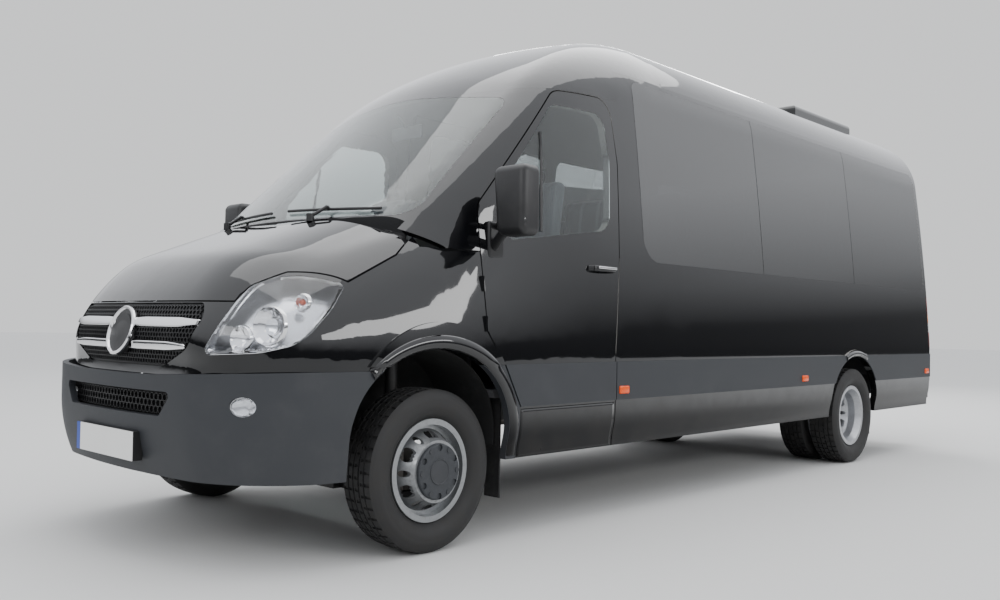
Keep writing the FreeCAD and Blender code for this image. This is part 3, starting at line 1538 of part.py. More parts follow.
def bumper_skin(outer_inset, inner_inset):
    return thick_skin(bowl_grid(bumper_depth, outer_inset, bumper_low_angle, bumper_high_angle, nose_spread),
                      bowl_grid(bumper_depth, inner_inset, bumper_low_angle, bumper_high_angle, nose_spread))


def make_cabin():
    """Everything cut from the cabin's walls."""
    skin = cabin_skin(0.0, wall)
    glass = cabin_skin(0.0, glass_wall)
    recess = cabin_skin(-overrun / 2, glass_wall + seat_gap)
    strip = band(cabin_skin(-strip_proud, -seat_gap), strip_low_z, strip_high_z)
    make_roof(skin)
    make_side_panels(skin, recess, rear_arch_lip(cabin_skin(-strip_proud, strip_proud)))
    make_side_glass(glass)
    make_cab_frame(skin)
    make_windscreen(glass)
    make_mirrors(make_doors(skin, glass, strip))
    make_strips(strip)
    make_front_post_trim(cabin_skin(-strip_proud, nose_wall))


def make_front():
    """Nose, lamps, grille and bumper."""
    nose = nose_skin(0.0, nose_wall)
    sheet, flare = nose_skin(0.0, bonnet_wall), nose_skin(-flare_proud, nose_wall / 2)
    make_nose(nose, sheet, flare, nose_skin(0.0, lamp_depth))
    make_cowl(nose_skin(bonnet_wall + seat_gap, bonnet_wall + cowl_wall))
    make_grille(nose_skin(grille_depth / 2, grille_depth))
    bumper = bumper_skin(0.0, bumper_wall)
    make_front_bumper(bumper)
    make_fog_lamps(bumper_skin(fog_stand_out, fog_depth))
    make_number_plate(bumper)


def main():
    make_cabin()
    make_front()
    make_rear_end()
    make_rear_bumper()
    make_floor()
    make_bulkhead()
    make_arch_liners()
    make_chassis()
    make_engine()
    make_tank()
    make_exhaust()
    make_front_wheels()
    make_rear_wheels()
    make_knuckles()
    make_front_suspension()
    make_rear_axle()
    make_dashboard()
    make_steering_wheel()
    make_seats()
    make_roof_unit()
    make_flaps()
    finish_all()
    for z in (door_hinge_low_z, door_hinge_high_z):
        point = door_hinge_point(z)
        print("door hinge", round(point.x, 1), round(point.y + origin_shift, 1), z)
    print("rear hinge", rear_hinge_x, rear_hinge_a + origin_shift)
    print("bonnet hinge", bonnet_hinge_a + origin_shift, bonnet_hinge_z)


main()
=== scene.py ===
import math
import bpy
import bmesh
from mathutils import Matrix, Vector
from mathutils.bvhtree import BVHTree


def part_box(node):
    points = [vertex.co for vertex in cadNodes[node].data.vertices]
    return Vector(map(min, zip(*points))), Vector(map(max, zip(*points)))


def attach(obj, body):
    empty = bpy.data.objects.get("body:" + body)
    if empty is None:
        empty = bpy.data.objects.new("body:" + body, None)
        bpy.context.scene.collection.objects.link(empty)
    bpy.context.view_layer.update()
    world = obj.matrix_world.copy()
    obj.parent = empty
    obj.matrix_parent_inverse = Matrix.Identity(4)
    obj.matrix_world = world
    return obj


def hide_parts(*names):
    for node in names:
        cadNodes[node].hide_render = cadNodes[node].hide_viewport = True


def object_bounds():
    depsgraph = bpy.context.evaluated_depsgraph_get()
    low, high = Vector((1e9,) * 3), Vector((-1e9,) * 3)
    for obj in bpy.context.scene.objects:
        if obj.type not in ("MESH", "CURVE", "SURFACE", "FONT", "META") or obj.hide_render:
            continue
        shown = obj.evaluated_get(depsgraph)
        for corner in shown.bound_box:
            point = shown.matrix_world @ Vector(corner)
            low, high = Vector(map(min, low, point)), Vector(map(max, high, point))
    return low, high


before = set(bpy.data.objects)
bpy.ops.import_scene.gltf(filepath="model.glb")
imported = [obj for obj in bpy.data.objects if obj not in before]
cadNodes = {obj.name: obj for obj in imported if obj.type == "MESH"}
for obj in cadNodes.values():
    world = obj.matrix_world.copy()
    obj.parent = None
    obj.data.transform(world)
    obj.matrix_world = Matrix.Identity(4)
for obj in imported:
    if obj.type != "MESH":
        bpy.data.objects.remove(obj)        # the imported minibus: -Y is ahead, +X its left side, metres
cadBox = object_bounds()
print("frame loaded with", len(cadNodes), "nodes")


# Socket maths: a Wire holds one socket, and sums of wires add Math nodes

class Wire:
    def __init__(self, finish, socket):
        self.finish = finish
        self.socket = socket

    def maths(self, operation, first, second=0.0):
        return self.finish.node("ShaderNodeMath", {"operation": operation}, {0: first, 1: second})

    def __add__(self, other):
        return self.maths("ADD", self, other)

    def __radd__(self, other):
        return self.maths("ADD", other, self)

    def __sub__(self, other):
        return self.maths("SUBTRACT", self, other)

    def __rsub__(self, other):
        return self.maths("SUBTRACT", other, self)

    def __mul__(self, other):
        return self.maths("MULTIPLY", self, other)

    def __rmul__(self, other):
        return self.maths("MULTIPLY", other, self)

    def __gt__(self, other):
        return self.maths("GREATER_THAN", self, other)

    def __lt__(self, other):
        return self.maths("LESS_THAN", self, other)

    def __abs__(self):
        return self.maths("ABSOLUTE", self)

    def root(self):
        return self.maths("SQRT", self)

    def most(self, other):
        return self.maths("MAXIMUM", self, other)

    def least(self, other):
        return self.maths("MINIMUM", self, other)

    def sine(self):
        return self.maths("SINE", self)

    def fade(self, low, high):  # 0 below low, 1 above high, smooth between
        settings = {"interpolation_type": "SMOOTHSTEP"}
        sockets = {"Value": self, "From Min": low, "From Max": high}
        return self.finish.node("ShaderNodeMapRange", settings, sockets)


class Finish:  # one material with its shader
    def __init__(self, name):
        self.material = bpy.data.materials.new(name)
        self.material.use_nodes = True
        self.tree = self.material.node_tree
        self.shader = self.tree.nodes["Principled BSDF"]
        self.place = self.node("ShaderNodeTexCoord", {}, {}, "Object")

    def node(self, kind, settings, sockets, output=0):
        made = self.tree.nodes.new(kind)
        for key, value in settings.items():
            setattr(made, key, value)
        for key, value in sockets.items():
            self.plug(made.inputs[key], value)
        return Wire(self, made.outputs[output])

    def plug(self, socket, value):
        if isinstance(value, Wire):
            self.tree.links.new(value.socket, socket)
        else:
            socket.default_value = value

    def feed(self, **sockets):
        for key, value in sockets.items():
            self.plug(self.shader.inputs[key.replace("_", " ")], value)

    def axes(self, vector=None):
        split = self.node("ShaderNodeSeparateXYZ", {}, {0: vector or self.place})
        outputs = split.socket.node.outputs
        return [Wire(self, outputs[i]) for i in range(3)]

    def noise(self, scale, detail=3.0, roughness=0.5):
        sockets = {"Vector": self.place, "Scale": scale, "Detail": detail, "Roughness": roughness}
        return self.node("ShaderNodeTexNoise", {}, sockets, "Fac")

    def mix(self, share, first, second):  # two colours
        return self.node("ShaderNodeMix", {"data_type": "RGBA"}, {0: share, 6: first, 7: second}, 2)

    def bump(self, height, strength, distance):
        sockets = {"Height": height, "Strength": strength, "Distance": distance}
        return self.node("ShaderNodeBump", {}, sockets)


# Finishes

paintLook = {
    "black": (0.0035, 0.0037, 0.0045, 1), "roughness": 0.035, "coatFrom": 0.45, "coatTo": 0.62,
    "dust": (0.022, 0.02, 0.018, 1), "dustFrom": 0.34, "dustTo": 0.75, "dustShare": 0.5,
    "dustRoughness": 0.35, "hazeRoughness": 0.03, "peelScale": 210.0, "peelDepth": 0.0004,
    "lining": (0.34, 0.33, 0.31, 1), "liningShade": (0.22, 0.21, 0.2, 1), "liningRoughness": 0.8,
    "ceilingHeight": 1.6, "cabinFront": -1.6, "cabinRear": 3.0, "turned": (-0.06, -0.02),
}


def facesInwards(finish, look):  # 1 where a wall faces the middle of the cabin
    normal = finish.node("ShaderNodeTexCoord", {}, {}, "Normal")
    x, y, z = finish.axes()
    nx, ny, nz = finish.axes(normal)
    along = y - y.most(look["cabinFront"]).least(look["cabinRear"])
    outward = x * nx + along * ny + (z - look["ceilingHeight"]) * nz
    return 1.0 - outward.fade(*look["turned"])


def makePaint(name, look, lined):
    finish = Finish(name)
    z = finish.axes()[2]
    speckle = finish.noise(7.0, 5.0, 0.6).fade(0.35, 0.75)
    grime = (1.0 - z.fade(look["dustFrom"], look["dustTo"])) * speckle * look["dustShare"]
    haze = finish.noise(2.3, 4.0)
    colour = finish.mix(grime, look["black"], look["dust"])
    roughness = look["roughness"] + grime * look["dustRoughness"] + haze * look["hazeRoughness"]
    coat = (1.0 - grime) * z.fade(look["coatFrom"], look["coatTo"])
    if lined:
        inside = facesInwards(finish, look)
        cloth = finish.noise(60.0, 6.0, 0.7)
        lining = finish.mix(cloth * 0.3, look["lining"], look["liningShade"])
        colour = finish.mix(inside, colour, lining)
        roughness = roughness + inside * look["liningRoughness"]
        coat = coat * (1.0 - inside)
    peel = finish.bump(finish.noise(look["peelScale"], 1.0), 0.02, look["peelDepth"])
    finish.feed(Base_Color=colour, Roughness=roughness, Coat_Weight=coat, Normal=peel)
    finish.feed(Coat_Roughness=0.02, IOR=1.28)
    return finish.material


plasticLook = {
    "patches": (5.0, 6.0, 0.65), "patchFade": (0.45, 0.8), "patchShare": 0.35, "patchHeight": 0.2,
    "splashFade": (0.3, 0.7), "splashShare": 0.3, "dustRoughness": 0.25, "bump": 0.35,
}


def makePlastic(name, colour, roughness=0.55, grain=900.0, depth=0.0004, worn=(0.09, 0.09, 0.095, 1)):
    look = plasticLook
    finish = Finish(name)
    splash = 1.0 - finish.axes()[2].fade(*look["splashFade"])
    patches = finish.noise(*look["patches"])
    dusty = patches.fade(*look["patchFade"]) * look["patchShare"] + splash * patches * look["splashShare"]
    pebbles = finish.node("ShaderNodeTexVoronoi", {}, {"Vector": finish.place, "Scale": grain}, "Distance")
    colour = finish.mix(dusty, colour, worn)
    finish.feed(Base_Color=colour, Roughness=roughness + dusty * look["dustRoughness"])
    finish.feed(Normal=finish.bump(pebbles + patches * look["patchHeight"], look["bump"], depth))
    return finish.material


metalLook = {
    "grime": (0.06, 0.05, 0.045, 1), "grimeFade": (0.5, 0.85), "grimeRoughness": 0.4, "bump": 0.08,
    "depth": 0.001,
}


def makeMetal(name, colour, roughness, metallic, spotScale, grime):
    look = metalLook
    finish = Finish(name)
    spots = finish.noise(spotScale, 5.0, 0.6)
    dark = spots.fade(*look["grimeFade"]) * grime
    finish.feed(Base_Color=finish.mix(dark, colour, look["grime"]), Metallic=metallic)
    finish.feed(Roughness=roughness + dark * look["grimeRoughness"])
    finish.feed(Normal=finish.bump(spots, look["bump"], look["depth"]))
    return finish.material


chromeLook = {"colour": (0.82, 0.82, 0.83, 1), "roughness": 0.04, "smearScale": 18.0, "smearRoughness": 0.08}


def makeChrome(name, look):
    finish = Finish(name)
    smear = finish.noise(look["smearScale"], 3.0) * look["smearRoughness"]
    finish.feed(Base_Color=look["colour"], Metallic=1.0, Roughness=look["roughness"] + smear)
    return finish.material


glassLook = {"filmScale": 3.0, "waveScale": 1.2, "waveBump": 0.03, "waveDepth": 0.002}


def makeGlass(name, tint, smears=0.02, bend=1.47):
    look = glassLook
    finish = Finish(name)
    film = finish.noise(look["filmScale"], 4.0, 0.6)
    waves = finish.bump(finish.noise(look["waveScale"], 1.0), look["waveBump"], look["waveDepth"])
    finish.feed(Base_Color=tint, Roughness=film * smears, Normal=waves, Transmission_Weight=1.0, IOR=bend)
    return finish.material


flapLook = {
    "colour": (0.012, 0.012, 0.013, 1), "roughness": 0.75, "crumbs": 350.0, "bump": 0.3, "depth": 0.0008,
    "dustColour": (0.075, 0.07, 0.065, 1), "dust": 9.0, "dustFrom": 0.4, "dustShare": 0.35,
    "dustRoughness": -0.1,
}
floorLook = dict(flapLook, colour=(0.05, 0.05, 0.055, 1), roughness=0.7)
tyreLook = {
    "colour": (0.009, 0.009, 0.0095, 1), "roughness": 0.62, "crumbs": 500.0, "bump": 0.25, "depth": 0.0006,
    "dustColour": (0.042, 0.039, 0.035, 1), "dust": 14.0, "dustFrom": 0.35, "dustShare": 0.45,
    "dustRoughness": 0.25,
}


def makeRubber(name, look):
    finish = Finish(name)
    crumbs = finish.bump(finish.noise(look["crumbs"], 3.0, 0.6), look["bump"], look["depth"])
    dust = finish.noise(look["dust"], 6.0, 0.7).fade(look["dustFrom"], 0.8)
    finish.feed(Base_Color=finish.mix(dust * look["dustShare"], look["colour"], look["dustColour"]))
    finish.feed(Roughness=look["roughness"] + dust * look["dustRoughness"], Normal=crumbs)
    return finish.material


wheelLook = {
    "silver": (0.30, 0.31, 0.32, 1), "cover": (0.028, 0.031, 0.036, 1), "brakeDust": (0.1, 0.085, 0.07, 1),
    "dust": 0.45, "dustFrom": 0.12, "dustTo": 0.22, "axle": -2.4615, "wheelHeight": 0.35,
    "coverRadius": 0.119, "coverEdge": 0.001, "coverFrom": 0.9715,
}
rearWheelLook = dict(wheelLook, axle=1.8635, coverRadius=0.0, dust=0.25, silver=(0.48, 0.49, 0.51, 1))


def makeWheelPaint(name, look):  # silver steel, with the dark hub cover and brake dust near the middle
    finish = Finish(name)
    x, y, z = finish.axes()
    along, high = y - look["axle"], z - look["wheelHeight"]
    reach = (along * along + high * high).root()
    edge = reach.fade(look["coverRadius"], look["coverRadius"] + look["coverEdge"])
    cover = (1.0 - edge) * (abs(x) > look["coverFrom"])
    grit = finish.noise(60.0, 6.0, 0.7)
    dust = grit.fade(0.35, 0.8) * (1.0 - reach.fade(look["dustFrom"], look["dustTo"]) * 0.4)
    steel = finish.mix(dust * look["dust"], look["silver"], look["brakeDust"])
    finish.feed(Base_Color=finish.mix(cover, steel, look["cover"]), Metallic=(1.0 - cover) * 0.75)
    finish.feed(Roughness=0.28 + dust * 0.3 + cover * 0.25, Normal=finish.bump(grit, 0.06, 0.0008))
    return finish.material


fabricLook = {
    "ground": (0.035, 0.04, 0.055, 1), "stripe": (0.13, 0.14, 0.16, 1), "threads": 2400.0, "bands": 48.0,
    "bandFrom": 0.82, "bandTo": 0.9, "bandShare": 0.6,
}


def makeFabric(name, look):
    finish = Finish(name)
    x, y, z = finish.axes()
    pitch = look["threads"]
    threads = (x * pitch).sine() * (z * pitch + y * pitch).sine()
    melange = finish.noise(420.0, 2.0)
    bands = (x * look["bands"]).sine().fade(look["bandFrom"], look["bandTo"]) * look["bandShare"]
    woven = finish.mix(melange.fade(0.3, 0.7) * 0.5, look["ground"], look["stripe"])
    finish.feed(Base_Color=finish.mix(bands, woven, look["stripe"]), Roughness=0.85 + threads * 0.05)
    finish.feed(Normal=finish.bump(threads + melange, 0.35, 0.0006), Sheen_Weight=0.4, Sheen_Roughness=0.4)
    return finish.material


lampLook = {
    "red": (0.35, 0.006, 0.008, 1), "clear": (0.75, 0.75, 0.75, 1), "amber": (0.8, 0.2, 0.01, 1),
    "paintedGlint": (0.9, 0.6, 0.6, 1), "clearFrom": 0.98, "clearTo": 1.06, "amberTo": 1.13, "ridges": 900.0,
}


def makeTailLamp(name, look):  # red cover with a clear band and an orange one
    finish = Finish(name)
    x, _, z = finish.axes()
    ridges = ((z * look["ridges"]).sine() * (x * look["ridges"]).sine()).fade(-0.2, 0.6)
    clear = (z > look["clearFrom"]) * (z < look["clearTo"])
    amber = (z > look["clearTo"]) * (z < look["amberTo"])
    colour = finish.mix(clear, look["red"], look["clear"])
    colour = finish.mix(amber, colour, look["amber"])
    # ridge crests are painted a little lighter, toward pale pink: a painted glint, not a colour the lens has
    finish.feed(Base_Color=finish.mix(ridges * 0.08, colour, look["paintedGlint"]), Roughness=0.06)
    finish.feed(Normal=finish.bump(ridges, 0.3, 0.001), Coat_Weight=1.0)
    return finish.material


plateLook = {
    "white": (0.78, 0.78, 0.76, 1), "grey": (0.6, 0.6, 0.6, 1), "band": (0.01, 0.05, 0.35, 1),
    "holder": (0.01, 0.01, 0.01, 1), "bandFrom": -0.226, "front": cadBox[0][1], "thick": 0.002,
}


def makePlateFinish(name, look):  # white plate with a plain band, in a black holder
    finish = Finish(name)
    x, y, _ = finish.axes()
    grain = finish.noise(700.0, 2.0)
    white = finish.mix(finish.noise(9.0, 3.0) * 0.25, look["white"], look["grey"])
    plate = finish.mix(x < look["bandFrom"], white, look["band"])
    colour = finish.mix(y > look["front"] + look["thick"], plate, look["holder"])
    finish.feed(Base_Color=colour, Roughness=0.3 + grain * 0.15, Normal=finish.bump(grain, 0.1, 0.0003))
    return finish.material


bodyPaint = makePaint("bodyPaint", paintLook, True)
plainPaint = makePaint("plainPaint", paintLook, False)
darkPlastic = makePlastic("darkPlastic", (0.020, 0.0225, 0.027, 1), worn=(0.055, 0.056, 0.06, 1))
blackPlastic = makePlastic("blackPlastic", (0.009, 0.009, 0.01, 1), 0.4, 700.0, 0.0002, (0.05, 0.05, 0.05, 1))
linerPlastic = makePlastic("linerPlastic", (0.008, 0.008, 0.008, 1), 0.9, 120.0, 0.001)
cabinPlastic = makePlastic("cabinPlastic", (0.10, 0.10, 0.105, 1), 0.6, 600.0, 0.0003, (0.16, 0.16, 0.16, 1))
chrome = makeChrome("brightTrim", chromeLook)
silverLamp = makeMetal("lampReflector", (0.74, 0.75, 0.77, 1), 0.22, 0.95, 12.0, 0.0)
darkGlass = makeGlass("darkGlass", (0.035, 0.038, 0.04, 1), 0.02, 2.2)
screenGlass = makeGlass("screenGlass", (0.80, 0.86, 0.85, 1))
lampGlass = makeGlass("lampGlass", (0.97, 0.98, 1.0, 1), 0.01)
mirrorGlass = makeMetal("mirrorGlass", (0.75, 0.78, 0.8, 1), 0.02, 1.0, 3.0, 0.0)
flapRubber = makeRubber("flapRubber", flapLook)
floorCover = makeRubber("floorCover", floorLook)
tyreRubber = makeRubber("tyreRubber", tyreLook)
frontWheelPaint = makeWheelPaint("frontWheelPaint", wheelLook)
rearWheelPaint = makeWheelPaint("rearWheelPaint", rearWheelLook)
chassisPaint = makeMetal("chassisPaint", (0.022, 0.022, 0.022, 1), 0.45, 0.1, 25.0, 0.6)
castMetal = makeMetal("castMetal", (0.16, 0.15, 0.14, 1), 0.55, 0.8, 30.0, 0.6)
boltSteel = makeMetal("boltSteel", (0.5, 0.5, 0.5, 1), 0.35, 1.0, 90.0, 0.4)
seatCloth = makeFabric("seatCloth", fabricLook)
tailLens = makeTailLamp("tailLens", lampLook)
orangeLens = makeMetal("orangeLens", (0.80, 0.085, 0.003, 1), 0.2, 0.0, 200.0, 0.0)
plateFinish = makePlateFinish("plateFinish", plateLook)
print("finishes made")

cadFinishes = (
    (bodyPaint, ("roof", "side_panels", "sliding_door", "cab_frame", "door_left", "door_right", "rear_frame",
                 "rear_door_left", "rear_door_right")),
    (plainPaint, ("bonnet", "wings", "roof_unit")),
    (darkGlass, ("side_glass", "rear_glass_left", "rear_glass_right")),
    (screenGlass, ("door_glass_left", "door_glass_right", "windscreen")),
    (darkPlastic, ("door_strip_left", "door_strip_right", "side_strips", "front_bumper", "rear_bumper")),
    (blackPlastic, ("cowl", "grille", "mirror_left", "mirror_right")),
    (lampGlass, ("headlamps", "fog_lamps")),
    (plateFinish, ("number_plate",)),
    (tailLens, ("tail_lamps",)),
    (floorCover, ("floor",)),
    (chassisPaint, ("bulkhead", "chassis_frame", "front_suspension", "seat_bases")),
    (linerPlastic, ("arch_liners", "fuel_tank")),
    (castMetal, ("engine", "exhaust", "rear_axle", "knuckle_left", "knuckle_right")),
    (cabinPlastic, ("dashboard", "steering_wheel")),
    (flapRubber, ("mud_flaps",)),
    (seatCloth, ("seat_cushions",)),
    (frontWheelPaint, ("rim_front_left", "rim_front_right")),
    (rearWheelPaint, ("rims_rear_left", "rims_rear_right")),
    (tyreRubber, ("tyre_front_left", "tyre_front_right", "tyres_rear_left", "tyres_rear_right")),
)
for finishOf, nodeNames in cadFinishes:
    for nodeName in nodeNames:
        slots = cadNodes[nodeName].data.materials
        slots.clear()
        slots.append(finishOf)


# Making and placing pieces

def addObject(name, data):
    made = bpy.data.objects.new(name, data)
    bpy.context.scene.collection.objects.link(made)
    return made


def makePiece(name, bm, finish, body, slotName, sharpAngle=35.0, replaces=()):
    mesh = bpy.data.meshes.new(name)
    bm.to_mesh(mesh)
    bm.free()
    mesh.materials.append(finish)
    mesh.polygons.foreach_set("use_smooth", [True] * len(mesh.polygons))
    mesh.set_sharp_from_angle(angle=math.radians(sharpAngle))
    piece = addObject(name, mesh)
    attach(piece, body)
    if replaces:
        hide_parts(*replaces)
    return piece


def joinInto(target, source):  # adds one bmesh to another
    mesh = bpy.data.meshes.new("part")
    source.to_mesh(mesh)
    source.free()
    target.from_mesh(mesh)
    bpy.data.meshes.remove(mesh)


def softBox(size, centre, bevel, segments=3):  # box with rounded edges
    bm = bmesh.new()
    bmesh.ops.create_cube(bm, size=1.0)
    bmesh.ops.scale(bm, vec=size, verts=bm.verts)
    bmesh.ops.bevel(bm, geom=bm.edges, offset=bevel, segments=segments, profile=0.5, affect="EDGES",
                    material=-1)
    bmesh.ops.translate(bm, vec=centre, verts=bm.verts)
    return bm


def rod(start, end, radius, sides=12, endRadius=None):  # round bar between two points
    bm = bmesh.new()
    run = Vector(end) - Vector(start)
    bmesh.ops.create_cone(bm, cap_ends=True, segments=sides, radius1=radius,
                          radius2=radius if endRadius is None else endRadius, depth=run.length)
    turn = run.to_track_quat("Z", "Y").to_matrix().to_4x4()
    middle = Matrix.Translation((Vector(start) + Vector(end)) / 2)
    bmesh.ops.transform(bm, matrix=middle @ turn, verts=bm.verts)
    return bm


def turnedForm(points, axis, centre, steps=32, closed=False):  # turns (along, radius) points about an axis
    bm = bmesh.new()
    corners = [bm.verts.new((radius, 0.0, along)) for along, radius in points]
    pairs = list(zip(corners, corners[1:])) + ([(corners[-1], corners[0])] if closed else [])
    edges = [bm.edges.new(pair) for pair in pairs]
    bmesh.ops.spin(bm, geom=corners + edges, cent=(0, 0, 0), axis=(0, 0, 1), angle=math.tau, steps=steps,
                   use_merge=True)
    bmesh.ops.remove_doubles(bm, verts=bm.verts, dist=1e-6)
    bmesh.ops.recalc_face_normals(bm, faces=bm.faces)
    turn = Vector(axis).to_track_quat("Z", "Y").to_matrix().to_4x4()
    bmesh.ops.transform(bm, matrix=Matrix.Translation(centre) @ turn, verts=bm.verts)
    return bm


def mirrorForm(bm):  # the same form on the other side of the vehicle
    twin = bm.copy()
    bmesh.ops.scale(twin, vec=(-1, 1, 1), verts=twin.verts)
    bmesh.ops.reverse_faces(twin, faces=twin.faces)
    return twin


trees = {}


def nodeTree(node):
    if node not in trees:
        bm = bmesh.new()
        bm.from_mesh(cadNodes[node].data)
        trees[node] = BVHTree.FromBMesh(bm)
        bm.free()
    return trees[node]


def touch(node, start, direction):  # where a line meets a CAD node, and the normal there
    place, normal, _, _ = nodeTree(node).ray_cast(Vector(start), Vector(direction))
    return place, normal


def sidePoint(node, y, z, lift=0.0, side=1):  # point on the outside of the body's side
    place, normal = touch(node, (side * 2.0, y, z), (-side, 0, 0))
    if place is None:
        return None, None
    if normal.x * side < 0:
        normal = -normal
    return place + normal * lift, normal


def addModifier(piece, kind, **settings):
    modifier = piece.modifiers.new(kind.lower(), kind)
    for key, value in settings.items():
        setattr(modifier, key, value)


def frontPoint(node, x, z):  # point on a face that is seen from ahead
    return touch(node, (x, -5.0, z), (0, 1, 0))[0]


def cutAcross(bm, low, high, count):  # cuts a form into slices along X
    for i in range(1, count):
        cut = low + (high - low) * i / count
        bmesh.ops.bisect_plane(bm, geom=bm.verts[:] + bm.edges[:] + bm.faces[:],
                               plane_co=(cut, 0, 0), plane_no=(1, 0, 0))


def wrapFront(bm, node, lift):  # bends a form so that its Y is measured from a node's front face
    for vert in bm.verts:
        met = frontPoint(node, vert.co.x, vert.co.z)
        if met:
            vert.co.y += met.y - lift


def sheetForm(along, across, place):  # sheet whose points lie where place puts their two shares
    bm = bmesh.new()
    bmesh.ops.create_grid(bm, x_segments=along, y_segments=across, size=0.5)
    for vert in bm.verts:
        vert.co = place(vert.co.x + 0.5, vert.co.y + 0.5)
    return bm


def chain(points, radius, sides=8):  # bar along several points
    bm = bmesh.new()
    for start, end in zip(points, points[1:]):
        joinInto(bm, rod(start, end, radius, sides))
    return bm


def vectors(box):  # low and high corner of a box
    return [Vector(corner) for corner in box]


def nodeCentre(node):
    low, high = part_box(node)
    return (Vector(low) + Vector(high)) / 2


# Tyres: side walls, four grooves round the tread, and short grooves across its ribs

treadLook = {
    "radius": 0.3496, "treadHalf": 0.082, "crown": 0.004, "steps": 176,
    "bulgeHalf": 0.1034, "bulgeRadius": 0.285, "beadHalf": 0.0695, "flange": 0.2236, "seat": 0.2045,
    "wallPoints": 13, "wallRidges": (2, 9), "ridge": 0.0016, "lowCurve": 2, "highCurve": 2.4,
    "grooves": (-0.048, -0.017, 0.017, 0.048), "grooveWidth": 0.008, "grooveDepth": 0.008, "grooveFoot": 0.6,
    "every": 4, "sipeDepth": 0.006, "sipeEdge": 0.0012, "ribDrop": 1.1,
}


def wallHalf(radius, look):  # half width of the side wall at one radius
    bulge = look["bulgeRadius"]
    if radius < bulge:
        share = (bulge - radius) / (bulge - look["flange"])
        return look["bulgeHalf"] - (look["bulgeHalf"] - look["beadHalf"]) * share ** look["lowCurve"]
    share = (radius - bulge) / (look["radius"] - bulge)
    return look["bulgeHalf"] - (look["bulgeHalf"] - look["treadHalf"]) * share ** look["highCurve"]


def tyreProfile(look):
    edgeRadius = look["radius"] - look["crown"]
    wall = []
    for i in range(look["wallPoints"]):
        share = i / look["wallPoints"]
        radius = look["flange"] + (edgeRadius - look["flange"]) * share
        ridge = look["ridge"] if i in look["wallRidges"] else 0.0
        wall.append((wallHalf(radius, look) + ridge, radius))
    tread = [(look["treadHalf"], edgeRadius)]
    for middle in look["grooves"][::-1]:
        half = look["grooveWidth"] / 2
        foot = half * look["grooveFoot"]
        top = look["radius"] - look["crown"] * (middle / look["treadHalf"]) ** 2
        tread += [(middle + half, top), (middle + foot, top - look["grooveDepth"]),
                  (middle - foot, top - look["grooveDepth"]), (middle - half, top)]
    tread.append((-look["treadHalf"], edgeRadius))
    half = [(look["beadHalf"], look["seat"])] + wall
    return half + tread + [(-along, radius) for along, radius in half[::-1]]


def makeTyre(look, centre):
    bm = turnedForm(tyreProfile(look), (1, 0, 0), (0, 0, 0), look["steps"], closed=True)
    lowest = look["radius"] - look["crown"] * look["ribDrop"]
    ribs = []
    for face in bm.faces:
        middle = face.calc_center_median()
        reach = math.hypot(middle.y, middle.z)
        step = int((math.atan2(middle.z, middle.y) + math.pi) / math.tau * look["steps"])
        shift = look["every"] // 2 if middle.x > 0 else 0
        if reach > lowest and abs(middle.x) < look["treadHalf"] and (step + shift) % look["every"] == 0:
            ribs.append(face)
    bmesh.ops.inset_individual(bm, faces=ribs, thickness=look["sipeEdge"], depth=-look["sipeDepth"])
    bmesh.ops.translate(bm, vec=centre, verts=bm.verts)
    return bm


def makeTyres(look):
    for side in ("left", "right"):
        front = makeTyre(look, nodeCentre("tyre_front_" + side))
        makePiece("treadFront_" + side, front, tyreRubber, "wheel_front_" + side, "tyre_rubber", 30,
                  ["tyre_front_" + side])
        low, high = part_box("tyres_rear_" + side)
        middle = nodeCentre("tyres_rear_" + side)
        inner, outer = low[0] + look["bulgeHalf"], high[0] - look["bulgeHalf"]
        rear = makeTyre(look, (inner, middle.y, middle.z))
        joinInto(rear, makeTyre(look, (outer, middle.y, middle.z)))
        makePiece("treadRear_" + side, rear, tyreRubber, "wheel_rear_" + side, "tyre_rubber", 30,
                  ["tyres_rear_" + side])


# Wheel nuts, middle cap and valve

nutLook = {
    "circle": 0.1025, "count": 6, "radius": 0.0125, "height": 0.012, "topShare": 0.85, "washerShare": 1.25,
    "washerFoot": 0.004, "washerTop": 0.002, "frontFace": 0.9795, "rearFace": 0.7705,
    "capRadius": 0.052, "capStand": 0.0083, "capSteps": 40,
    "capRing": ((0.0, 0.004), (0.004, 0.002), (0.004, 0.0), (0.0015, -0.003)),  # along, beyond the radius
    "capFace": ((0.004, 0.5), (0.005, 0.0)),  # along, share of the radius
    "valveCircle": 0.168, "valveTip": 1.02, "valveRadius": 0.0035, "valveStart": 0.03, "valveLength": 0.04,
}


def makeNuts(look, face, axle, height, sides):
    bm = bmesh.new()
    for i in range(look["count"]):
        angle = math.tau * (i + 0.5) / look["count"]
        y, z = axle + look["circle"] * math.sin(angle), height + look["circle"] * math.cos(angle)
        joinInto(bm, rod((face, y, z), (face + look["height"], y, z), look["radius"], sides,
                         look["radius"] * look["topShare"]))
        joinInto(bm, rod((face - look["washerFoot"], y, z), (face + look["washerTop"], y, z),
                         look["radius"] * look["washerShare"], 20))
    return bm


